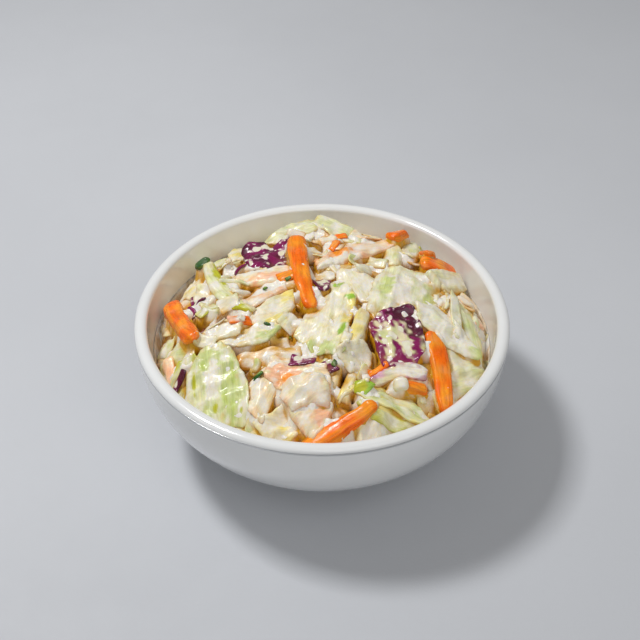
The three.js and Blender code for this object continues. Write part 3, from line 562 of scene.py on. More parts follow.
def small_bits():
    """The smallest bits that are told apart: crumbs of carrot and cabbage, purple threads and herbs."""
    return [
        chip(-28, -9, 15, 8, 5.5, "carrot", 0.6, 0.3, thick=1.6, curl=1,
             marks=[("dressing", 0, 0, 0.5, 0.5), ("blush", -0.8, 0.2, 0.4, 0.8)]),
        chip(-27, -9, 80, 3, 2.2, "cream", 0.5, 0.9),
        stick(-28.5, 8.5, 30, 7, 5, "cream", 0.6, 0.9),
        stick(15, 20, 10, 6, 4, "cream", 0.4, 0.95),
        stick(25.5, -36, 10, 5, 3.5, "cream", 0.4, 0.7),
        chip(18.5, -28.5, 10, 7, 3, "carrot", 0.3, 0.1),
        chip(-13, 14, 20, 6, 5, "carrot", 0.3, 0.1),
        chip(4, 34, 60, 6, 4, "carrot", 0.3, 0.3),
        chip(7, 40, 20, 5, 3, "carrot", 0.3, 0.3),
        # This chip is tinted with the warm tan of the painted shade.
        chip(-10, 41, -20, 7, 5, "amber", 0.6, 0.6),
        chip(2, 38, 30, 7, 5, "peach", 0.6, 0.6),
        chip(20, 27, -20, 8, 5, "pale", 0.4, 0.5),
        chip(8, -20, 80, 6, 4, "cream", 0.3, 0.6, thick=2),
        chip(13.8, -38, 10, 7, 4.5, "herb_light", 0.3, 0.15, thick=0.8, roll=1, lift=0.5,
             outline=[(1, 0), (0.3, 0.9), (-0.8, 1), (-1, -0.3), (0, -1)],
             marks=[("lime", -0.4, 0.1, 0.6, 0.8)]),
        thread(-46, 8, 100, 6, 1.5, "purple", 0.3, 0.2, rise=2),
        thread(-43, 3, 55, 7, 1.5, "purple", 0.3, 0.2, bend=2),
        thread(-46, 1, 110, 6, 1.4, "purple", 0.3, 0.2, bend=-1.5),
        chip(-42, -6.5, 20, 3.5, 2, "purple", 0.3, 0.2),
        thread(-29, 22, 55, 8, 1.2, "purple", 0.3, 0.1, bend=1),
        chip(-6.5, -26, -10, 9, 5, "purple", 0.6, 0.3),
        thread(17, 50, 15, 6, 1.6, "purple", 0.3, 0.2),
        thread(27, 48, -55, 5, 2, "purple", 0.3, 0.3),
        chip(-53, -29, 50, 7, 3, "plum", 0.5, 0.0),
        chip(-40, 0, 30, 8, 5, "lime", 0.5, 0.4),
        chip(-54, -8, 60, 6, 5, "green", 0.5, 0.6),
        stick(-43.8, 27.6, 40, 5.5, 5, "herb", 0.3, 0.0, thick=2.5, lift=4.5),
        chip(-39.5, -15.5, -20, 8, 5, "cream", 0.5, 0.8),
        chip(-12, 12, 30, 2.2, 1.4, "herb", 0.3, 0.1, thick=0.5),
        chip(-11, -12, 120, 2, 1.2, "herb", 0.3, 0.1, thick=0.5),
        chip(-9, -9, 20, 1.6, 1, "herb", 0.3, 0.1, thick=0.5),
        chip(-20, 8.5, 60, 2, 1.2, "herb", 0.3, 0.1),
        chip(4, -29, 70, 2.4, 1.5, "herb", 0.3, 0.1, lift=0.5),
        chip(-11, -8, 60, 8, 6, "cream", 0.5, 0.8),
        chip(-14, -16, 20, 7, 5, "yellow", 0.5, 0.6),
        chip(-33, 1, 10, 8, 6, "cream", 0.5, 0.8),
        chip(-3.5, 30.5, 40, 6.5, 5, "peach", 0.5, 0.7, thick=2),
        chip(-37, -8, 30, 7, 5, "cream", 0.5, 0.9),
        chip(-21, -31, 25, 3.6, 2.4, "herb", 0.2, 0.0, lift=0.8, marks=[("bright_green", 0, 0, 0.4, 0.4)]),
        chip(-18.5, -10.7, -20, 2.4, 0.8, "herb", 0.3, 0.1, thick=0.5, lift=0.3),
        # Under the leaves at the back
        chip(-17, 52, 25, 10, 7, "cream", 0.5, 0.7),
        chip(-8, 55, 10, 11, 6, "pale", 0.4, 0.6, lift=-1),
        chip(1, 55.5, -3, 10, 6, "cream", 0.4, 0.7, lift=-1),
        chip(9.5, 52, -20, 12, 7, "cream", 0.5, 0.7),
        chip(19, 50, -30, 10, 6.5, "yellow", 0.5, 0.6),
    ]


# For each kind: how finely it is meshed, how full it is, and the share of its thickness that it may sink in
SPACING = {"leaf": 0.5, "fillLeaf": 0.85, "underLeaf": 0.95, "chip": 0.7, "shred": 0.7, "fillShred": 0.8}
FULLNESS = {"leaf": 1.05, "fillLeaf": 0.75, "underLeaf": 1.0, "chip": 1.0, "shred": 1.0, "fillShred": 0.8}
EMBEDDING = {"leaf": 0.5, "fillLeaf": 0.8, "underLeaf": 0.5, "chip": 0.5, "shred": 0.6, "fillShred": 0.8,
             "thread": 0.5, "stick": 0.5, "carrot": 0.4}
SAG = 0.07  # the share of the way that a piece sags towards what lies below it

# Leaves below the larger pieces, and small cuts in the gaps between them
UNDER_LEAVES = 120
UNDER_LIMIT = 56
UNDER_REACH = 59
SMALL_CUTS = {"chip": 20, "thread": 8}
SMALL_CUT_TRIES = 12000
BROAD_WIDTH = 14  # pieces broader than this stay uncovered
CLEAR_MARGIN = 2

# The core between the pieces. Reaches across gaps are in cells of the fine bed
GAP_REACH = 9  # a gap this wide and wider counts as the heap's surface
CREASE_REACH = 3  # the seams between touching pieces are narrower than this
CORE_REACH_CELLS = 4
CORE_SINK = 1.4
CORE_COVER = 0.7  # the core stays this far below the pieces' upper faces
CORE_LEAST = 0.5  # its least thickness over the wall
CORE_BUMPS = 0.2
CORE_BUMP_LENGTH = 3
CORE_EDGE = 59.3
CORE_SEGMENTS = 460
CORE_RINGS = 120
CORE_UNDER_RINGS = 24
POOL_REACH_CELLS = 3  # dressing pools in gaps up to this wide
POOL_SINK = 0.45
POOL_LENGTH = 11
WALL_FILM = 0.6  # how strongly the dressing's own colour shows where it meets the wall
WALL_FILM_REACH = (56.5, 58.8)

# Cut outlines
NOTCHES = ((5, 0.2), (9, 0.14), (14, 0.12), (23, 0.14), (37, 0.1))  # waves round an outline, and how strong
NOTCH_DEPTH = 0.055
CORNER_ROUNDING = 0.06

# Leaves' faces. The heights are for a piece whose folds are 1
FOLD_LENGTH = 18
FOLD_HEIGHT = 0.65
CREASE_LENGTH = 11
CREASE_DEPTH = 0.5
RUFFLE_LENGTH = 8
RUFFLE_HEIGHT = 0.5
DIMPLE_LENGTH = 4.2
DIMPLE_HEIGHT = 0.07
LEAST_THICKNESS = 0.6
RIM_BULGE = 0.16  # how far the rim stands out, as a share of the thickness
EDGE_SHARPNESS = 13

# Stalks' ribs, and the side ribs that fan out from them
RIBBED_SHARE = 0.55
RIB_WIDTH = 0.9
RIB_HEIGHT = 0.5
SIDE_RIB_SPACING = 5.5
SIDE_RIB_SLANT = 1.4
SIDE_RIB_HEIGHT = 0.015

# Bars: carrots, sticks and threads
SIDES = {"carrot": 20, "stick": 16, "thread": 8}
SQUARENESS = {"carrot": 3.0, "stick": 3.6, "thread": 2.4}
CARROT_BUMPINESS = 0.35  # as a share of the other bars'
BAR_SPACING = 0.8
BAR_TIPS = (0.45, 0.12)  # extra rings near each end, in spacings
BAR_BLUNTNESS = 0.45
END_ROUNDING = 0.2  # the stretch over which an end rounds off, as a share of the width


def outline_reach(piece, turn):
    """How far a flat piece's cut outline reaches at an angle, in half lengths and half widths."""
    draw = draw_from(OUTLINE_SEED + piece.seed)
    corners = np.array([(2 * a / piece.length, 2 * b / piece.width) for a, b in piece.corners])
    if not piece.is_leaf and not piece.outline:
        corners = np.concatenate([corners, [(draw(-0.5, 0.5), 1), (draw(-0.5, 0.5), -1)]])
        corners *= [(draw(0.85, 1), draw(0.6, 1.1)) for _ in corners]
    angles = np.arctan2(corners[:, 1], corners[:, 0]) % TAU
    order = np.argsort(angles)
    corners = corners[order]
    angles = angles[order]

    def reach_at(turns):
        turns = turns % TAU
        before = (np.searchsorted(angles, turns, side="right") - 1) % len(angles)
        start = corners[before]
        edge = corners[(before + 1) % len(angles)] - start
        cross_start = start[..., 0] * edge[..., 1] - start[..., 1] * edge[..., 0]
        cross_ray = np.cos(turns) * edge[..., 1] - np.sin(turns) * edge[..., 0]
        return cross_start / np.where(np.abs(cross_ray) < 1e-6, 1e-6, cross_ray)

    mean = (reach_at(turn - CORNER_ROUNDING) + 2 * reach_at(turn) + reach_at(turn + CORNER_ROUNDING)) / 4
    notches = sum(np.cos(k * turn + draw(0, TAU)) * weight for k, weight in NOTCHES)
    return np.clip(mean, 0.3, 1.6) * (1 + NOTCH_DEPTH * notches)


def leaf_places(piece):
    """The leaf's own grid: lengthways and sideways places, and the share of the way to the edge."""
    spacing = SPACING[piece.kind]
    columns = max(7, round(piece.length / spacing)) + 1
    rows = max(6, round(piece.width / spacing)) + 1
    s, t = np.meshgrid(np.linspace(-1, 1, columns), np.linspace(-1, 1, rows), indexing="ij")
    turn = np.arctan2(t, s)
    square = 1 / np.maximum(np.abs(np.cos(turn)), np.abs(np.sin(turn)))
    stretch = outline_reach(piece, turn) / square
    share = np.maximum(np.abs(s), np.abs(t))
    return 0.5 * piece.length * s * stretch, 0.5 * piece.width * t * stretch, share


def crumple(piece, a, b, share):
    """Folds, creases, dimples and a wavy edge."""
    draw = draw_from(FOLD_SEED + piece.seed)
    fold = FOLD_HEIGHT * waves(a, b, draw, FOLD_LENGTH, 4)
    crease = CREASE_DEPTH * np.abs(waves(a, b, draw, CREASE_LENGTH, 4))
    ruffle = RUFFLE_HEIGHT * (waves(a, b, draw, RUFFLE_LENGTH) * share**3)
    return piece.folds * (fold - crease + DIMPLE_HEIGHT * dimples(piece, a, b) + ruffle)


def dimples(piece, a, b):
    """The small hollows and humps between a leaf's veins, where the dressing gathers and thins."""
    draw = draw_from(DIMPLE_SEED + piece.seed)
    return waves(a * 0.75, b, draw, DIMPLE_LENGTH, 8)


def rib_height(piece, a, b):
    """A stalk's rib along some of the leaves, with side ribs that fan out."""
    draw = draw_from(RIB_SEED + piece.seed)
    if draw() > RIBBED_SHARE:
        return np.zeros_like(a)
    offset = draw(-0.2, 0.2) * piece.width
    slant = draw(-0.2, 0.2)
    main = np.exp(-(((b - offset - slant * a) / RIB_WIDTH) ** 2))
    side_ribs = np.cos(TAU * (a + SIDE_RIB_SLANT * np.abs(b - offset)) / SIDE_RIB_SPACING) ** 8
    fan = side_ribs * smooth_step(-0.5, 1, waves(a, b, draw, 9))
    return RIB_HEIGHT * main + SIDE_RIB_HEIGHT * fan


def drape(piece, under, x, y, bed):
    """Lets a surface sag towards the bed, and keeps it from sinking in or meeting the wall."""
    soft = bed.soft.at(x, y)
    under = under - SAG * np.maximum(under - soft, 0)
    floor = bed.firm.at(x, y) - EMBEDDING[piece.kind] * piece.thickness
    under = smooth_max(under, floor, 0.5)
    wall = wall_height(np.hypot(x, y)) + WALL_GAP + CORE_GAP
    return np.maximum(under, wall)


# A laid piece's closed surface. Each point has a place along the grain, a share of the way to the edge, and
# a facing: above 0 on the upper side and below 0 on the underside
Shape = namedtuple("Shape", "piece points quads grain share facing")


def grid_quads(rows, columns, start=0, flipped=False):
    index = start + np.arange(rows * columns).reshape(rows, columns)
    quads = np.stack([index[:-1, :-1], index[1:, :-1], index[1:, 1:], index[:-1, 1:]], -1).reshape(-1, 4)
    return quads[:, ::-1] if flipped else quads


def capped_tube(rows, sides, inside_out=False):
    """The quads of a tube of rings, closed at both ends."""
    index = np.arange(rows * sides).reshape(rows, sides)
    onward = np.roll(index, -1, 1)
    body = np.stack([index[:-1], index[1:], onward[1:], onward[:-1]], -1).reshape(-1, 4)
    half = np.arange(sides // 2 - 1)
    cap = np.stack([half, half + 1, sides - 2 - half, sides - 1 - half], -1)
    last = index[-1, 0]
    if inside_out:
        return np.concatenate([body[:, [0, 3, 2, 1]], cap[:, ::-1], last + cap])
    return np.concatenate([body, cap, last + cap[:, ::-1]])


def border_of(rows, columns):
    """The indices round a grid's edge, counterclockwise."""
    index = np.arange(rows * columns).reshape(rows, columns)
    return np.concatenate([index[:-1, 0], index[-1, :-1], index[:0:-1, -1], index[0, :0:-1]])


def finer(grid):
    """A grid with a point added between each two."""
    for _ in range(2):
        rows, columns = grid.shape
        fine = np.empty((2 * rows - 1, columns))
        fine[::2] = grid
        fine[1::2] = (grid[1:] + grid[:-1]) / 2
        grid = fine.T
    return grid


def lay_leaf(piece, bed):
    a, b, share = leaf_places(piece)
    x, y = piece.to_plan(a, b)
    form = piece.base + piece.slope_a * a + piece.slope_b * b + piece.relief(a, b)
    under = drape(piece, form + crumple(piece, a, b, share), x, y, bed)
    draw = draw_from(LEAF_SEED + piece.seed)
    body = piece.thickness * FULLNESS[piece.kind] * (0.95 + 0.08 * waves(a, b, draw, 7))
    lumps = np.maximum(0, waves(a, b, draw, 4.5)) * 0.08 + 0.05 * waves(a, b, draw, 2.0, 9)
    thick = np.maximum(LEAST_THICKNESS, body) + rib_height(piece, a, b) + lumps * (0.4 + piece.coat)
    rounding = np.sqrt(np.clip(1 - share**EDGE_SHARPNESS, 0, 1))
    over = under + thick * (0.7 + 0.3 * rounding)
    under = under + 0.2 * thick * (1 - rounding)
    bed.raise_to(finer(x), finer(y), finer(over))

    rows, columns = a.shape
    count = rows * columns
    edge = border_of(rows, columns)
    outward = np.stack([x.ravel()[edge] - piece.x, y.ravel()[edge] - piece.y], -1)
    outward /= np.linalg.norm(outward, axis=1, keepdims=True) + 1e-9
    bulge = RIM_BULGE * thick.ravel()[edge, None] * outward
    rim_xy = np.stack([x.ravel()[edge], y.ravel()[edge]], -1) + bulge
    rim_z = (0.5 * (over + under)).ravel()[edge, None]
    points = np.concatenate([
        np.stack([x, y, over], -1).reshape(-1, 3),
        np.stack([x, y, under], -1).reshape(-1, 3),
        np.concatenate([rim_xy, rim_z], 1),
    ])
    ring = np.arange(len(edge))
    after = np.roll(ring, -1)
    rim = 2 * count
    upper = np.stack([edge[ring], rim + ring, rim + after, edge[after]], -1)
    lower = np.stack([rim + ring, count + edge[ring], count + edge[after], rim + after], -1)
    quads = np.concatenate([grid_quads(rows, columns), grid_quads(rows, columns, count, True), upper, lower])
    grain = np.stack([a, b, np.full_like(a, piece.seed)], -1).reshape(-1, 3)
    grain = np.concatenate([grain, grain, grain[edge]])
    shares = np.concatenate([share.ravel(), share.ravel(), np.full(len(edge), 1.1)])
    facing = np.concatenate([np.ones(count), -np.ones(count), np.zeros(len(edge))])
    return Shape(piece, points, quads, grain, shares, facing)


def lay_bar(piece, bed):
    draw = draw_from(BAR_SEED + piece.seed)
    count = max(8, round(piece.length / BAR_SPACING))
    inner = np.linspace(-1, 1, count)[1:-1]
    tip = np.array(BAR_TIPS) * 2 / count
    u = np.concatenate([[-1], -1 + tip[::-1], inner, 1 - tip, [1]])
    a = 0.5 * piece.length * u
    line = np.zeros_like(a)
    x, y = piece.to_plan(a, line)
    form = piece.base + piece.slope_a * a + piece.relief(a, line)
    bumpiness = CARROT_BUMPINESS if piece.kind == "carrot" else 1.0
    wobble = bumpiness * piece.folds * (0.5 * waves(a, line, draw, 14, 3) + 0.22 * waves(a, line, draw, 6, 3))
    under = drape(piece, form + wobble, x, y, bed)
    middle = under + 0.5 * piece.thickness
    middle = (np.roll(middle, 1) + 2 * middle + np.roll(middle, -1)) / 4
    middle[[0, -1]] = 2 * middle[[1, -2]] - middle[[2, -3]]

    ends = np.sqrt(np.clip(1 - np.abs(u) ** (piece.length / (END_ROUNDING * piece.width)), 0, 1))
    ends = np.maximum(ends, BAR_BLUNTNESS)
    swell = 1 + 0.09 * bumpiness * waves(a, line, draw, 11, 3)
    taper = 1 - piece.taper * np.clip(0.4 + 0.6 * u, 0, 1) ** 1.5
    size = (ends * swell * taper)[:, None]
    sides = SIDES[piece.kind]
    turn = TAU * (np.arange(sides) + 0.5) / sides
    power = 2 / SQUARENESS[piece.kind]
    across = np.sign(np.cos(turn)) * np.abs(np.cos(turn)) ** power
    rise = np.sign(np.sin(turn)) * np.abs(np.sin(turn)) ** power
    grain_a = a[:, None] + 0 * turn
    grain_b = (turn * (piece.width + piece.thickness) / 4)[None, :] + 0 * grain_a
    skin = 0.05 * waves(grain_a * 0.2, grain_b, draw, 2.2) + 0.04 * waves(grain_a, grain_b, draw, 6)
    lumps = np.maximum(0, waves(grain_a, grain_b, draw, 4)) * 0.12 * piece.coat * bumpiness
    wide = 0.5 * piece.width * size * across * (1 + skin / 2) + lumps * across
    tall = 0.5 * piece.thickness * size * rise * (1 + skin / 2) + lumps * rise
    twist = (draw(-0.5, 0.5) + draw(-0.6, 0.6) * u)[:, None] * (0.4 if piece.kind == "carrot" else 1)
    b = wide * np.cos(twist) - tall * np.sin(twist)
    z = middle[:, None] + piece.slope_b * b * 0.6 + wide * np.sin(twist) + tall * np.cos(twist)
    x, y = piece.to_plan(a[:, None] + 0 * b, b)
    z = np.maximum(z, wall_height(np.hypot(x, y)) + WALL_GAP)
    bed.raise_to(finer(finer(x)), finer(finer(y)), finer(finer(z)))

    points = np.stack([x, y, z], -1).reshape(-1, 3)
    grain = np.stack([grain_a, grain_b, np.full_like(grain_a, piece.seed)], -1).reshape(-1, 3)
    share = (np.abs(u)[:, None] + 0 * b).ravel()
    facing = (rise[None, :] + 0 * b).ravel()
    return Shape(piece, points, capped_tube(len(u), sides), grain, share, facing)


def lay(piece, bed):
    """Lays a settled piece on the bed and returns its shape."""
    bed.firm = bed.with_heights(box_blur(bed.z, 1))
    bed.soft = bed.with_heights(box_blur(bed.z, 4))
    return (lay_leaf if piece.is_flat else lay_bar)(piece, bed)


def under_leaves():
    """Leaves below the larger pieces, out to the bowl's wall."""
    draw = draw_from(UNDER_LEAF_SEED)
    pieces = []
    for i in range(UNDER_LEAVES):
        r = UNDER_LIMIT * math.sqrt((i + 0.5) / UNDER_LEAVES)
        turn = i * GOLDEN_ANGLE
        length = draw(11, 21)
        shape = {"curl": draw(-1.5, 2), "rise": draw(-3, 3), "roll": draw(-4, 4), "arch": draw(-1, 2)}
        tint = FILL_TINTS[math.floor(draw(0, len(FILL_TINTS)))]
        pieces.append(Piece("underLeaf", r * math.cos(turn), r * math.sin(turn), draw(0, 360), length,
                            length * draw(0.45, 0.85), tint, draw(0.5, 1.1), draw(0.3, 0.8), **shape))
    return pieces


def is_clear(x, y, pieces):
    """Whether a place lies off the carrots, the red cabbage and the largest leaves, which stay uncovered."""
    for piece in pieces:
        if piece.tint in STRONG_TINTS or piece.width > BROAD_WIDTH:
            a = (x - piece.x) * math.cos(piece.heading) + (y - piece.y) * math.sin(piece.heading)
            b = (y - piece.y) * math.cos(piece.heading) - (x - piece.x) * math.sin(piece.heading)
            if abs(a) < 0.5 * piece.length + CLEAR_MARGIN and abs(b) < 0.5 * piece.width + CLEAR_MARGIN:
                return False
    return True


def small_cuts(bed, larger):
    """Chips and threads for the places where the bed lies deep between larger pieces."""
    depth = bed.with_heights(closed(bed.z, GAP_REACH) - bed.z)
    draw = draw_from(CUT_SEED)
    pieces = []
    wanted = dict(SMALL_CUTS)
    for _ in range(SMALL_CUT_TRIES):
        r = PIECE_LIMIT * math.sqrt(draw(0, 1))
        turn = draw(0, TAU)
        x = r * math.cos(turn)
        y = r * math.sin(turn)
        kind = "chip" if draw() < 0.7 else "thread"
        if wanted[kind] <= 0 or depth.at(np.array([x]), np.array([y]))[0] < draw(1.5, 3.5):
            continue
        if not is_clear(x, y, larger):
            continue
        wanted[kind] -= 1
        tint = CUT_TINTS[math.floor(draw(0, len(CUT_TINTS)))]
        length = draw(3, 7.5) if kind == "chip" else draw(5, 13)
        width = length * draw(0.5, 0.9) if kind == "chip" else draw(1.1, 2.1)
        shape = {"curl": draw(-1, 1), "rise": draw(-3, 3), "roll": draw(-3, 3), "bend": draw(-1.5, 1.5)}
        if kind == "thread":
            shape["roll"] = 0
        place = (x, y, draw(0, 360), length, width)
        pieces.append(Piece(kind, *place, tint, draw(0.2, 0.6), draw(0.3, 0.8), **shape))
    return pieces


# Among these, the warm tan tint is painted shade.
CUT_TINTS = ("cream", "peach", "green", "cream", "yellow", "pale", "blush", "cream", "lime", "amber", "pale")


class Heap:
    """All laid pieces, and the surface that they make."""

    def __init__(self):
        plan = domed_bed(PLAN_CELL, PLAN_CELLS)
        fine = domed_bed(FINE_CELL, FINE_CELLS, FINE_DROP)
        larger = spread("fillLeaf", FILL_LEAVES, FILL_LEAF_SEED, fill_leaf_look)
        larger += spread("fillShred", FILL_SHREDS, FILL_SHRED_SEED, fill_shred_look)
        larger += shown_pieces()
        self.shapes = []
        for index, piece in enumerate(under_leaves()):
            piece.settle(fine, UNDER_LEAF_INDEX + index, UNDER_REACH)
            self.shapes.append(lay(piece, fine))
        for index, piece in enumerate(larger):
            piece.settle(plan, index)
            piece.cover(plan)
            self.shapes.append(lay(piece, fine))
        for index, piece in enumerate(small_cuts(fine, larger) + small_bits()):
            piece.settle(fine, SMALL_CUT_INDEX + index)
            self.shapes.append(lay(piece, fine))
        self.bed = fine
        self.surface = fine.with_heights(box_blur(closed(fine.z, GAP_REACH), 2))
        self.seams = fine.with_heights(box_blur(closed(fine.z, CREASE_REACH), 1))

    def depth_at(self, points):
        """How deep points lie below the heap's closed surface."""
        return self.surface.at(points[:, 0], points[:, 1]) - points[:, 2]

    def crease_at(self, points):
        """How deep points lie in the narrow seams between pieces."""
        return self.seams.at(points[:, 0], points[:, 1]) - points[:, 2]


@lru_cache(maxsize=1)
def heap():
    return Heap()


# Colours

def colour(name, default, description):
    return bpy.props.FloatVectorProperty(
        name=name, description=description, default=default, subtype="COLOR_GAMMA", size=3, min=0, max=1
    )


class ColeslawColours(bpy.types.PropertyGroup):
    """The colours of the cuts and the dressing, and of the painted shade between the pieces, in sRGB"""

    cream: colour("Cream cabbage", (0.94, 0.895, 0.73), "White cabbage in dressing")
    pale: colour("Pale cabbage", (0.90, 0.90, 0.72), "The inner leaf's greenish white")
    leaf_green: colour("Leaf green", (0.80, 0.84, 0.56), "The outer leaf's soft green")
    spring_green: colour("Spring green", (0.75, 0.81, 0.45), "The green between an outer leaf's veins")
    bright_green: colour("Bright green", (0.60, 0.76, 0.22), "The green along an outer leaf's edge and veins")
    yellow: colour("Yellow", (0.95, 0.88, 0.52), "Young yellow leaf")
    lime: colour("Yellow-green", (0.76, 0.76, 0.14), "The saturated side of a young leaf")
    peach: colour("Peach", (0.96, 0.84, 0.68), "Cabbage stained by carrot juice")
    blush: colour("Blush", (0.98, 0.76, 0.62), "Strong carrot stain")
    olive: colour("Glassy leaf", (0.87, 0.88, 0.74), "Thin glassy leaf")
    # The next three colours are painted shade: warm tan where the heap lies low and on some shaded pieces,
    # dark brown where it lies deepest, and yellow in the seams between the pieces.
    amber: colour("Amber", (0.86, 0.64, 0.12), "The dressing's warm colour between the pieces")
    deep_shade_colour: colour("Umber", (0.42, 0.22, 0.02), "The dressing's dark colour deep between the pieces")
    seam_shade_colour: colour("Honey", (0.95, 0.81, 0.34), "The dressing's colour in the seams between the pieces")
    # Partly the cut sides' own tan, partly painted shade on the pieces' sides and undersides.
    cut_edge_and_shade: colour("Cut edge", (0.87, 0.74, 0.44), "The cabbage's cut sides")
    carrot: colour("Carrot", (1.0, 0.44, 0.0), "Carrot baton")
    carrot_light: colour("Light carrot", (1.0, 0.60, 0.14), "Lighter grain of a carrot")
    purple: colour("Red cabbage", (0.52, 0.02, 0.33), "Red cabbage's skin")
    plum: colour("Plum", (0.32, 0.02, 0.17), "Red cabbage's dark edges")
    onion: colour("Red onion", (0.88, 0.68, 0.78), "Red onion's pink flesh")
    herb: colour("Herb", (0.12, 0.33, 0.08), "Parsley and chive")
    dressing: colour("Dressing", (0.95, 0.93, 0.89), "Creamy dressing")


# For each tint its main colour, its second colour, its edge colour, and how strongly the second shows
TINTS = {
    "cream": ("cream", "pale", "cut_edge_and_shade", 0.6),
    "pale": ("pale", "leaf_green", "cut_edge_and_shade", 0.35),
    "green": ("pale", "leaf_green", "yellow", 0.9),
    "striped": ("pale", "leaf_green", "cut_edge_and_shade", 0.7),
    "dappled": ("cream", "leaf_green", "cut_edge_and_shade", 0.5),
    "yellow": ("cream", "yellow", "cut_edge_and_shade", 0.9),
    "lime": ("pale", "lime", "lime", 0.7),
    "peach": ("cream", "peach", "blush", 0.9),
    "blush": ("peach", "blush", "blush", 0.8),
    "olive": ("olive", "pale", "cut_edge_and_shade", 0.7),
    "carrot": ("carrot", "carrot_light", "carrot", 0.8),
    "purple": ("purple", "plum", "plum", 0.7),
    "plum": ("plum", "purple", "plum", 0.4),
    "onion": ("onion", "pale", "purple", 0.7),
    # Painted shade: peach going over to warm tan.
    "amber": ("peach", "amber", "amber", 0.9),
    "herb": ("herb", "bright_green", "herb", 0.3),
    "herb_light": ("bright_green", "lime", "bright_green", 0.4),
}


STRONG_TINTS = ("carrot", "purple", "plum", "herb", "herb_light")

# Over these depths painted shade colours the seams, then what lies low, then what lies deepest
SEAM_DEPTHS = (0.3, 1.5)
SUNK_DEPTHS = (0.4, 3.4)
DARK_DEPTHS = (2.2, 6.0)


def linear(srgb):
    values = np.array(srgb, float)
    return np.where(values <= 0.04045, values / 12.92, ((values + 0.055) / 1.055) ** 2.4)


def mark_weight(shape, mark, draw):
    """How strongly a mark shows at each point: full in its middle, with a ragged edge."""
    _, s, t, reach_s, reach_t = mark
    u = (2 * shape.grain[:, 0] / shape.piece.length - s) / reach_s
    v = (2 * shape.grain[:, 1] / shape.piece.width - t) / reach_t
    ragged = 0.22 * waves(shape.grain[:, 0], shape.grain[:, 1], draw, 3)
    return smooth_step(1.3, 0.7, np.hypot(u, v) + ragged)


def tint_of(shape, depth, crease, colours):
    """Each point's colour under the dressing, with painted shade in the seams and deep places between the
    pieces.
    """
    piece = shape.piece
    main, second, edge, strength = TINTS[piece.tint]
    main, second, edge = (linear(getattr(colours, name)) for name in (main, second, edge))
    a = shape.grain[:, 0]
    b = shape.grain[:, 1]
    draw = draw_from(TINT_SEED + piece.seed)
    stretch, length = (0.16, 2.6) if piece.tint in ("striped", "carrot") else (0.4, 3.5)
    streaks = waves(a * stretch, b, draw, length)
    patches = waves(a, b, draw, 9, 4)
    share = smooth_step(-0.9, 1.4, 0.6 * streaks + 0.8 * patches + 0.9 * (strength - 0.5))[:, None]
    tint = blend(main, second, share * min(1, strength + 0.2))
    ragged = 0.15 * waves(a, b, draw, 4)
    # The outline, and on flat pieces the sides and undersides, take the edge colour: partly the cut sides'
    # own colour, partly painted shade.
    tint = blend(tint, edge, (0.5 * smooth_step(0.8, 1.1, shape.share + ragged))[:, None])
    if piece.is_flat:
        tint = blend(tint, edge, np.where(shape.facing < 0.5, 0.7, 0)[:, None])
    for mark in piece.marks:
        tint = blend(tint, linear(getattr(colours, mark[0])), mark_weight(shape, mark, draw)[:, None])
    shade = 1 + 0.05 * waves(a, b, draw, 5)[:, None]
    # Painted shade below, weaker on the strong tints: yellow in the seams, warm tan where a point lies low,
    # dark brown where it lies deepest.
    stain = 0.35 if piece.tint in STRONG_TINTS else 1.0
    seam_shade = (0.7 * stain * smooth_step(*SEAM_DEPTHS, crease))[:, None]
    sunk_shade = (0.9 * stain * smooth_step(*SUNK_DEPTHS, depth))[:, None]
    dark = (0.8 * stain * smooth_step(*DARK_DEPTHS, depth))[:, None]
    tint = blend(tint * shade, linear(colours.seam_shade_colour) * (0.4 + 0.6 * tint), seam_shade)
    tint = blend(tint, linear(colours.amber) * (0.5 + 0.5 * tint), sunk_shade)
    return np.clip(blend(tint, linear(colours.deep_shade_colour), dark), 0, 1)


def coat_of(shape, depth, crease):
    """The share of the dressing that covers each point."""
    a = shape.grain[:, 0]
    b = shape.grain[:, 1]
    draw = draw_from(COAT_SEED + shape.piece.seed)
    coat = shape.piece.coat + 0.2 * waves(a, b, draw, 7) - 0.25 * smooth_step(0.9, 1.05, shape.share)
    coat -= 0.12 * dimples(shape.piece, a, b)
    bared = 0.3 if shape.piece.group == "red_cabbage" else 0.55
    for mark in shape.piece.marks:
        more = 0.5 if mark[0] == "dressing" else -bared
        coat += more * mark_weight(shape, mark, draw)
    # Less dressing over the seams, the deep places and the undersides, so that the painted shade there shows.
    coat -= 0.35 * smooth_step(0.3, 1.3, crease)
    return np.clip(coat - 0.5 * smooth_step(1.5, 5, depth) - 0.2 * (shape.facing < 0), 0, 1)


# Meshes

def mesh_object(name, points, quads, material, attributes=()):
    """One smooth mesh object from points in millimetres and quads, with named attributes of its points."""
    mesh = bpy.data.meshes.new(name)
    mesh.vertices.add(len(points))
    mesh.vertices.foreach_set("co", (np.asarray(points) * METRE).ravel())
    mesh.loops.add(4 * len(quads))
    mesh.loops.foreach_set("vertex_index", np.asarray(quads, np.int32).ravel())
    mesh.polygons.add(len(quads))
    mesh.polygons.foreach_set("loop_start", np.arange(len(quads), dtype=np.int32) * 4)
    mesh.update(calc_edges=True)
    if mesh.validate():
        raise RuntimeError(f"{name} had faces that are not valid")
    mesh.polygons.foreach_set("use_smooth", np.ones(len(quads), bool))
    for label, (kind, field, values) in dict(attributes).items():
        mesh.attributes.new(label, kind, "POINT").data.foreach_set(field, np.asarray(values, float).ravel())
    mesh.materials.append(material)
    made = bpy.data.objects.new(name, mesh)
    bpy.context.scene.collection.objects.link(made)
    return made


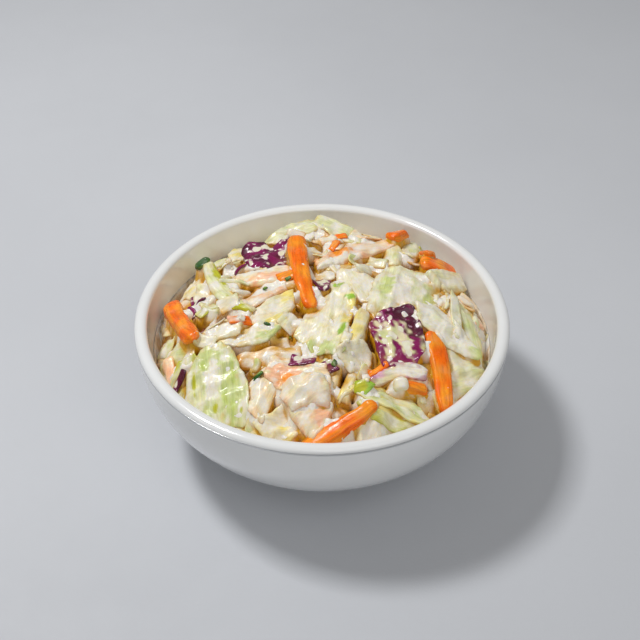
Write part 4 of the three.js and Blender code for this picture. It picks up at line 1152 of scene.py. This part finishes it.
def joined_pieces(name, shapes, material, colours):
    """One mesh of many laid pieces."""
    points, quads, tints, coats, grains = [], [], [], [], []
    start = 0
    for shape in shapes:
        depth = heap().depth_at(shape.points)
        crease = heap().crease_at(shape.points)
        tint = tint_of(shape, depth, crease, colours)
        points.append(shape.points)
        quads.append(shape.quads + start)
        tints.append(np.concatenate([tint, np.ones((len(tint), 1))], 1))
        coats.append(coat_of(shape, depth, crease))
        grains.append(shape.grain)
        start += len(shape.points)
    attributes = {
        "tint": ("FLOAT_COLOR", "color", np.concatenate(tints)),
        "coat": ("FLOAT", "value", np.concatenate(coats)),
        "grain": ("FLOAT_VECTOR", "vector", np.concatenate(grains)),
    }
    made = mesh_object(name, np.concatenate(points), np.concatenate(quads), material, attributes)
    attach(made, "root")
    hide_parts("coleslaw")
    return made


# Finishes

class Finish:
    """A material built node by node. An input is a number, a colour or another node's output."""

    def __init__(self, name, sockets):
        self.material = bpy.data.materials.new(name)
        self.material.use_nodes = True
        self.tree = self.material.node_tree
        self.surface = self.tree.nodes["Principled BSDF"]
        self.set(sockets)

    def set(self, sockets):
        for socket, value in sockets.items():
            self.plug(self.surface.inputs[socket], value)

    def plug(self, socket, value):
        if isinstance(value, bpy.types.NodeSocket):
            self.tree.links.new(value, socket)
        else:
            socket.default_value = value

    def node(self, kind, inputs=None, output=0, **settings):
        node = self.tree.nodes.new(kind)
        for setting, value in settings.items():
            setattr(node, setting, value)
        for key, value in (inputs or {}).items():
            self.plug(node.inputs[key], value)
        return node.outputs[output]

    def attribute(self, name, output):
        return self.node("ShaderNodeAttribute", output=output, attribute_name=name)

    def place(self):
        return self.node("ShaderNodeTexCoord", output="Object")

    def stretched(self, vector, scale):
        return self.node("ShaderNodeMapping", {"Vector": vector, "Scale": scale})

    def noise(self, vector, scale, detail=2, roughness=0.5):
        inputs = {"Vector": vector, "Scale": scale, "Detail": detail, "Roughness": roughness}
        return self.node("ShaderNodeTexNoise", inputs)

    def cells(self, vector, scale):
        return self.node("ShaderNodeTexVoronoi", {"Vector": vector, "Scale": scale})

    def math(self, operation, first, second):
        return self.node("ShaderNodeMath", {0: first, 1: second}, operation=operation)

    def between(self, value, low, high, to_low=0.0, to_high=1.0):
        inputs = {"Value": value, "From Min": low, "From Max": high, "To Min": to_low, "To Max": to_high}
        return self.node("ShaderNodeMapRange", inputs, interpolation_type="SMOOTHSTEP")

    def mix(self, share, first, second):
        return self.node("ShaderNodeMix", {0: share, 6: first, 7: second}, output=2, data_type="RGBA")

    def bump(self, height, strength, distance, below=None):
        inputs = {"Height": height, "Strength": strength, "Distance": distance}
        if below is not None:
            inputs["Normal"] = below
        return self.node("ShaderNodeBump", inputs)


def rgba(srgb):
    return (*linear(srgb), 1.0)


def dressed_finish(name, colours, coverage=0.95, gloss=(0.28, 0.5), flesh=0.25, fibre=0.12, mottle=0.5):
    """Cut vegetable in its own tint, with fibres along it and a wet creamy coat that thins and thickens."""
    finish = Finish(name, {
        "Subsurface Weight": flesh,
        "Subsurface Radius": (1.0, 0.8, 0.45),
        "Subsurface Scale": 0.0009,
        "Specular IOR Level": 0.5,
        "Coat Weight": 0.2,
        "Coat Roughness": 0.15,
    })
    tint = finish.attribute("tint", "Color")
    coat = finish.attribute("coat", "Fac")
    grain = finish.attribute("grain", "Vector")
    place = finish.place()
    fibres = finish.noise(finish.stretched(grain, (0.18, 1.5, 3.7)), 1.0, 3, 0.6)
    patches = finish.noise(finish.stretched(grain, (0.3, 0.45, 3.7)), 1.0, 4, 0.65)
    threads = finish.between(fibres, 0.3, 0.7, 1 - fibre, 1 + fibre)
    flesh_colour = finish.node("ShaderNodeVectorMath", {0: tint, "Scale": threads}, operation="SCALE")
    thinned = finish.math("ADD", coat, finish.math("MULTIPLY", finish.math("SUBTRACT", patches, 0.5), 1.6))
    covered = finish.between(thinned, 0.1, 1.1, 0.0, coverage)
    dressed = finish.mix(covered, flesh_colour, rgba(colours.dressing))
    specks = finish.noise(finish.stretched(grain, (0.5, 0.75, 3.7)), 1.0, 4, 0.65)
    warm = finish.node("ShaderNodeVectorMath", {0: dressed, 1: (0.96, 0.89, 0.62)}, operation="MULTIPLY")
    finish.set({"Base Color": finish.mix(finish.between(specks, 0.36, 0.56, mottle, 0.0), dressed, warm)})
    finish.set({"Roughness": finish.between(finish.noise(place, 500, 2), 0.3, 0.7, *gloss)})
    lumps = finish.bump(finish.noise(place, 450, 3), 0.3, 0.0006)
    finish.set({"Normal": finish.bump(finish.noise(place, 1300, 2), 0.18, 0.0002, lumps)})
    return finish


def red_cabbage_finish(colours):
    """Red cabbage with dressing pooled in its hollows, and lilac where the pools thin out."""
    finish = dressed_finish("red_cabbage_in_dressing", colours, 0.0, (0.15, 0.35), 0.05, 0.2)
    grain = finish.attribute("grain", "Vector")
    coat = finish.attribute("coat", "Fac")
    tint = finish.attribute("tint", "Color")
    warp = finish.node("ShaderNodeTexNoise", {"Vector": grain, "Scale": 0.45, "Detail": 3}, output="Color")
    warped = finish.node(
        "ShaderNodeVectorMath", {0: finish.stretched(grain, (0.36, 0.43, 2.3)), 1: warp}, operation="ADD"
    )
    pools = finish.cells(warped, 1.0)
    limit = finish.between(coat, 0.0, 0.9, 0.12, 0.85)
    inside = finish.math("SUBTRACT", limit, pools)
    thin = finish.between(inside, -0.12, 0.02, 0.0, 0.6)
    thick = finish.between(inside, -0.02, 0.1, 0.0, 0.95)
    lilac = finish.mix(thin, tint, rgba(colours.onion))
    white = finish.mix(finish.noise(grain, 0.6), rgba(colours.dressing), rgba(colours.pale))
    finish.set({"Base Color": finish.mix(thick, lilac, white)})
    return finish


def carrot_finish(colours):
    """Wet carrot: orange with lighter grain, and thin streaks of dressing."""
    finish = dressed_finish("carrot_in_dressing", colours, 0.12, (0.22, 0.4), 0.15, 0.2, 0.0)
    finish.set({"Subsurface Radius": (1.0, 0.35, 0.05), "Specular IOR Level": 0.3, "Coat Weight": 0.12})
    return finish


def core_finish(colours):
    """What shows deep between the pieces: fine chopped cabbage in dressing, painted in shade colours that
    turn warm tan and then dark brown the deeper it lies.
    """
    finish = Finish("deep_slaw", {
        "Subsurface Weight": 0.15,
        "Subsurface Radius": (1.0, 0.6, 0.2),
        "Subsurface Scale": 0.002,
        "Specular IOR Level": 0.5,
    })
    place = finish.place()
    cells = finish.cells(finish.stretched(place, (1, 1, 0.4)), 420)
    bits = finish.between(cells, 0.15, 0.55)
    patches = finish.between(finish.noise(place, 160, 3), 0.35, 0.65)
    low = finish.attribute("depth", "Fac")
    # Painted shade: the core's bits are peach and warm tan, going over to tan and then dark brown with depth,
    # and to the dressing's own colour where it pools.
    base = finish.mix(bits, rgba(colours.peach), rgba(colours.amber))
    base = finish.mix(finish.between(low, 1.2, 3.2), base, rgba(colours.amber))
    base = finish.mix(finish.between(low, 2.4, 6.0), base, rgba(colours.deep_shade_colour))
    base = finish.mix(finish.attribute("pooled", "Fac"), base, rgba(colours.dressing))
    finish.set({"Base Color": base, "Roughness": finish.between(patches, 0, 1, 0.22, 0.4)})
    lumps = finish.bump(cells, 0.5, 0.0012)
    finish.set({"Normal": finish.bump(finish.noise(place, 900, 3), 0.3, 0.0005, lumps)})
    return finish


def porcelain_finish(settings):
    """White glaze, a little uneven, over a body that is bare under the foot ring."""
    finish = Finish("white_porcelain", {
        "Specular IOR Level": 0.5,
        "Coat Weight": 0.6,
        "Coat Roughness": 0.06,
        "Subsurface Weight": 0.05,
        "Subsurface Radius": (1.0, 0.9, 0.8),
        "Subsurface Scale": 0.002,
    })
    place = finish.place()
    height = finish.node("ShaderNodeSeparateXYZ", {0: place}, output="Z")
    bare = finish.between(height, 0.0004, 0.0009, 1.0, 0.0)
    clouds = finish.noise(place, 60, 3)
    glaze = finish.mix(clouds, rgba(settings.glaze), rgba(settings.glaze_shade))
    finish.set({
        "Base Color": finish.mix(bare, glaze, rgba(settings.bare_body)),
        "Roughness": finish.math("ADD", finish.between(finish.noise(place, 240, 2), 0.3, 0.7, 0.12, 0.2),
                                 finish.math("MULTIPLY", bare, 0.6)),
        "Normal": finish.bump(finish.noise(place, 45, 1), 0.12, 0.0008,
                              finish.bump(finish.noise(place, 1800, 2), 0.04, 0.0002)),
    })
    return finish


def floor_finish(settings):
    finish = Finish("pale_floor", {"Specular IOR Level": 0.3})
    place = finish.place()
    clouds = finish.noise(place, 3, 3)
    shaded = finish.between(clouds, 0.3, 0.7)
    finish.set({
        "Base Color": finish.mix(shaded, rgba(settings.floor), rgba(settings.floor_shade)),
        "Roughness": finish.between(finish.noise(place, 80, 3), 0.3, 0.7, 0.55, 0.7),
        "Normal": finish.bump(finish.noise(place, 900, 2), 0.1, 0.0004),
    })
    return finish


# Settings

class BowlSettings(bpy.types.PropertyGroup):
    """The bowl's mesh and glaze"""

    segments: bpy.props.IntProperty(
        name="Segments", description="Sides of the turned bowl", default=240, min=48, max=512
    )
    glaze: colour("Glaze", (0.94, 0.945, 0.945), "White glaze")
    glaze_shade: colour("Glaze shade", (0.91, 0.915, 0.915), "Where the glaze is thinner")
    bare_body: colour("Bare body", (0.80, 0.77, 0.72), "Unglazed ring that the bowl stands on")


def amount(name, description, default, **more):
    return bpy.props.FloatProperty(name=name, description=description, default=default, **more)


class StageSettings(bpy.types.PropertyGroup):
    """The floor, the lights and the camera"""

    floor: colour("Floor", (0.80, 0.81, 0.83), "Pale floor")
    floor_shade: colour("Floor shade", (0.77, 0.78, 0.80), "Slightly darker clouds of the floor")
    floor_size: amount("Floor size", "Side of the square floor", 6, unit="LENGTH")
    key_power: amount("Key light", "Power of the main light, in watts", 3.8, min=0)
    key_size: amount("Key light size", "Side of the main light", 0.14, unit="LENGTH")
    key_distance: amount("Key light distance", "From the bowl's middle to the main light", 0.8, unit="LENGTH")
    fill_power: amount("Fill light", "Power of the soft light in front, in watts", 4.7, min=0)
    fill_size: amount("Fill light size", "Side of the soft light in front", 1.2, unit="LENGTH")
    sky: amount("Sky", "Strength of the even light from all round", 0.28, min=0)
    lens_angle: amount("Angle of view", "The camera's angle of view", math.radians(32), unit="ROTATION")


# The stage, in metres
KEY_DIRECTION = Vector((-0.419, 0.176, 0.890))
FILL_PLACE = Vector((0.42, -0.88, 1.1))
LIGHT_AIM = Vector((0, 0, 0.03))
SKY_COLOUR = (1.0, 0.985, 0.96, 1.0)
CAMERA_PLACE = Vector((0, -0.2924, 0.3051))
CAMERA_AIM = Vector((-0.0007, -0.0021, 0.0476))


def aimed(made, place, aim):
    made.location = place
    made.rotation_euler = (aim - place).to_track_quat("-Z", "Y").to_euler()
    bpy.context.scene.collection.objects.link(made)
    return made


def area_light(name, place, power, size):
    light = bpy.data.lights.new(name, "AREA")
    light.energy = power
    light.size = size
    return aimed(bpy.data.objects.new(name, light), place, LIGHT_AIM)


# Operators

class COLESLAW_OT_stage(bpy.types.Operator):
    """Make the pale floor, the soft lights and the camera"""

    bl_idname = "coleslaw.stage"
    bl_label = "Stage"

    def execute(self, context):
        settings = context.scene.coleslaw_stage
        half = 500 * settings.floor_size
        corners = [(-half, -half, 0), (half, -half, 0), (half, half, 0), (-half, half, 0)]
        floor = mesh_object("floor", corners, [(0, 1, 2, 3)], floor_finish(settings).material)
        key_place = LIGHT_AIM + settings.key_distance * KEY_DIRECTION
        area_light("key_light", key_place, settings.key_power, settings.key_size)
        area_light("fill_light", FILL_PLACE, settings.fill_power, settings.fill_size)
        world = bpy.data.worlds.new("soft_room")
        world.use_nodes = True
        background = world.node_tree.nodes["Background"]
        background.inputs["Color"].default_value = SKY_COLOUR
        background.inputs["Strength"].default_value = settings.sky
        context.scene.world = world
        lens = bpy.data.cameras.new("camera")
        lens.sensor_fit = "HORIZONTAL"
        lens.angle = settings.lens_angle
        context.scene.camera = aimed(bpy.data.objects.new("camera", lens), CAMERA_PLACE, CAMERA_AIM)
        context.scene.view_settings.view_transform = "Standard"
        return {"FINISHED"}


ARC_STEPS = 6
WALL_STEPS = 60
LIP_STEPS = 20


def bowl_profile():
    """The bowl's section as radius and height, from its middle underneath to its middle inside."""
    recess = FOOT_RADIUS - FOOT_WIDTH
    arc = [TAU / 4 * i / ARC_STEPS for i in range(ARC_STEPS + 1)]
    points = [(r, FOOT_RECESS) for r in np.linspace(0, recess - RECESS_ROUNDING, 8)]
    for t in arc[-2::-1]:
        z = FOOT_RECESS - RECESS_ROUNDING + RECESS_ROUNDING * math.sin(t)
        points.append((recess - RECESS_ROUNDING * math.cos(t), z))
    for t in arc:
        points.append((recess + FOOT_ROUNDING * (1 - math.cos(t)), FOOT_ROUNDING * (1 - math.sin(t))))
    for t in arc:
        points.append((FOOT_RADIUS - FOOT_ROUNDING * (1 - math.sin(t)), FOOT_ROUNDING * (1 - math.cos(t))))
    points.append((FOOT_RADIUS + FOOT_FLARE, FOOT_HEIGHT - FOOT_SEAM))
    for i in range(WALL_STEPS + 1):
        angle = FOOT_ANGLE + (LIP_ANGLE - FOOT_ANGLE) * (i / WALL_STEPS) ** 0.8
        points.append(superellipse(RIM_RADIUS, BODY_DEPTH, angle))
    for i in range(LIP_STEPS + 1):
        turn = math.pi * i / LIP_STEPS
        r = RIM_RADIUS - LIP_WIDTH / 2 * (1 - math.cos(turn))
        points.append((r, BOWL_HEIGHT + LIP_ROUNDING * (math.sin(turn) - 1)))
    for i in range(1, WALL_STEPS + 1):
        angle = LIP_ANGLE + (math.pi / 2 - LIP_ANGLE) * (i / WALL_STEPS) ** 0.9
        points.append(superellipse(INNER_RADIUS, INNER_DEPTH, angle))
    return points


class COLESLAW_OT_bowl(bpy.types.Operator):
    """Turn the white porcelain bowl"""

    bl_idname = "coleslaw.bowl"
    bl_label = "Porcelain bowl"

    def execute(self, context):
        settings = context.scene.coleslaw_bowl
        profile = np.array([point for point in bowl_profile() if point[0] > 0.01])
        segments = settings.segments
        turn = TAU * np.arange(segments) / segments
        ring = np.stack([np.cos(turn), np.sin(turn)], -1)
        points = np.concatenate([
            np.concatenate([r * ring, np.full((segments, 1), z)], 1) for r, z in profile
        ])
        quads = capped_tube(len(profile), segments, inside_out=True)
        bowl = mesh_object("porcelain_bowl", points, quads, porcelain_finish(settings).material)
        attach(bowl, "root")
        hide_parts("bowl")
        return {"FINISHED"}


def core_beds():
    """The core's upper surface, and how much the dressing that pools on it shows."""
    bed = heap().bed
    filled = box_blur(closed(bed.z, CORE_REACH_CELLS), 1) - CORE_SINK
    deep = np.minimum(filled, bed.z - CORE_COVER)
    line = bed.cell * (np.arange(len(bed.z)) - bed.last / 2)
    across, along = np.meshgrid(line, line)
    pools = smooth_step(0.1, 0.9, waves(across, along, draw_from(POOL_SEED), POOL_LENGTH, 8))
    level = box_blur(closed(bed.z, POOL_REACH_CELLS), 1) - POOL_SINK
    film = WALL_FILM * smooth_step(*WALL_FILM_REACH, np.hypot(across, along))
    pooled = np.maximum(pools * smooth_step(0, 0.5, level - deep), film)
    return bed.with_heights(np.maximum(deep, blend(deep, level, pools))), bed.with_heights(pooled)


def core_rings(radii):
    turn = TAU * np.arange(CORE_SEGMENTS) / CORE_SEGMENTS
    return radii[:, None] * np.cos(turn), radii[:, None] * np.sin(turn)


def ring_steps(count, reach):
    """Even steps for a number of rings, from just off the middle to the reach."""
    return reach * (np.arange(count) + 0.5) / (count - 0.5)


def core_points(top):
    """Rings over the top from the middle to the edge, and back along the wall to the middle underneath."""
    x, y = core_rings(ring_steps(CORE_RINGS, CORE_EDGE))
    floor = wall_height(np.hypot(x, y)) + WALL_GAP
    bumps = CORE_BUMPS * waves(x, y, draw_from(CORE_SEED), CORE_BUMP_LENGTH)
    z = np.maximum(top.at(x, y) + bumps, floor + CORE_LEAST)
    under_radii = CORE_EDGE * np.sin(ring_steps(CORE_UNDER_RINGS, TAU / 4))
    under_x, under_y = core_rings(under_radii[::-1])
    under_z = wall_height(np.hypot(under_x, under_y)) + WALL_GAP
    return np.concatenate([
        np.stack([x, y, z], -1).reshape(-1, 3),
        np.stack([under_x, under_y, under_z], -1).reshape(-1, 3),
    ])


class COLESLAW_OT_core(bpy.types.Operator):
    """Make the dressed mass that the pieces lie on"""

    bl_idname = "coleslaw.core"
    bl_label = "Deep slaw"

    def execute(self, context):
        colours = context.scene.coleslaw_colours
        top, pooled = core_beds()
        points = core_points(top)
        quads = capped_tube(CORE_RINGS + CORE_UNDER_RINGS, CORE_SEGMENTS)
        attributes = {
            "depth": ("FLOAT", "value", heap().depth_at(points)),
            "pooled": ("FLOAT", "value", pooled.at(points[:, 0], points[:, 1])),
        }
        core = mesh_object("deep_slaw", points, quads, core_finish(colours).material, attributes)
        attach(core, "root")
        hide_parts("coleslaw")
        return {"FINISHED"}


def make_group(context, group, finish):
    shapes = [shape for shape in heap().shapes if shape.piece.group == group]
    return joined_pieces(group, shapes, finish.material, context.scene.coleslaw_colours)


class COLESLAW_OT_cabbage(bpy.types.Operator):
    """Make the chopped white and green cabbage"""

    bl_idname = "coleslaw.cabbage"
    bl_label = "Cabbage"

    def execute(self, context):
        finish = dressed_finish("cabbage_in_dressing", context.scene.coleslaw_colours)
        for group in ("cabbage_leaves", "cabbage_under_leaves", "cabbage_shreds", "cabbage_chips"):
            make_group(context, group, finish)
        return {"FINISHED"}


class COLESLAW_OT_red_cabbage(bpy.types.Operator):
    """Make the red cabbage"""

    bl_idname = "coleslaw.red_cabbage"
    bl_label = "Red cabbage"

    def execute(self, context):
        make_group(context, "red_cabbage", red_cabbage_finish(context.scene.coleslaw_colours))
        return {"FINISHED"}


class COLESLAW_OT_onion(bpy.types.Operator):
    """Make the strips of red onion"""

    bl_idname = "coleslaw.onion"
    bl_label = "Red onion"

    def execute(self, context):
        finish = dressed_finish("onion_in_dressing", context.scene.coleslaw_colours, 0.4, (0.12, 0.3), 0.3)
        make_group(context, "onion_strips", finish)
        return {"FINISHED"}


class COLESLAW_OT_carrots(bpy.types.Operator):
    """Make the carrot batons and bits"""

    bl_idname = "coleslaw.carrots"
    bl_label = "Carrot batons"

    def execute(self, context):
        make_group(context, "carrot_batons", carrot_finish(context.scene.coleslaw_colours))
        return {"FINISHED"}


class COLESLAW_OT_herbs(bpy.types.Operator):
    """Make the bits of parsley and chive"""

    bl_idname = "coleslaw.herbs"
    bl_label = "Herbs"

    def execute(self, context):
        finish = dressed_finish("herb_in_dressing", context.scene.coleslaw_colours, 0.3, (0.3, 0.5), 0.1, 0.2)
        make_group(context, "herbs", finish)
        return {"FINISHED"}


class COLESLAW_PT_panel(bpy.types.Panel):
    """Lists the parts of the coleslaw"""

    bl_idname = "COLESLAW_PT_panel"
    bl_label = "Coleslaw"
    bl_space_type = "VIEW_3D"
    bl_region_type = "UI"
    bl_category = "Coleslaw"

    def draw(self, context):
        for operator in OPERATORS:
            self.layout.operator(operator.bl_idname)
        for group in SETTINGS:
            box = self.layout.box()
            settings = getattr(context.scene, group)
            for name in settings.bl_rna.properties.keys():
                if name not in ("rna_type", "name"):
                    box.prop(settings, name)


SETTINGS = {
    "coleslaw_bowl": BowlSettings,
    "coleslaw_stage": StageSettings,
    "coleslaw_colours": ColeslawColours,
}
OPERATORS = (
    COLESLAW_OT_stage,
    COLESLAW_OT_bowl,
    COLESLAW_OT_core,
    COLESLAW_OT_cabbage,
    COLESLAW_OT_red_cabbage,
    COLESLAW_OT_onion,
    COLESLAW_OT_carrots,
    COLESLAW_OT_herbs,
)


def register():
    for name, settings in SETTINGS.items():
        bpy.utils.register_class(settings)
        setattr(bpy.types.Scene, name, bpy.props.PointerProperty(type=settings))
    for operator in OPERATORS:
        bpy.utils.register_class(operator)
    bpy.utils.register_class(COLESLAW_PT_panel)


def unregister():
    bpy.utils.unregister_class(COLESLAW_PT_panel)
    for operator in reversed(OPERATORS):
        bpy.utils.unregister_class(operator)
    for name, settings in SETTINGS.items():
        delattr(bpy.types.Scene, name)
        bpy.utils.unregister_class(settings)


def main():
    register()
    for operator in OPERATORS:
        group, action = operator.bl_idname.split(".")
        getattr(getattr(bpy.ops, group), action)()
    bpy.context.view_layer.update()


if __name__ == "__main__":
    main()
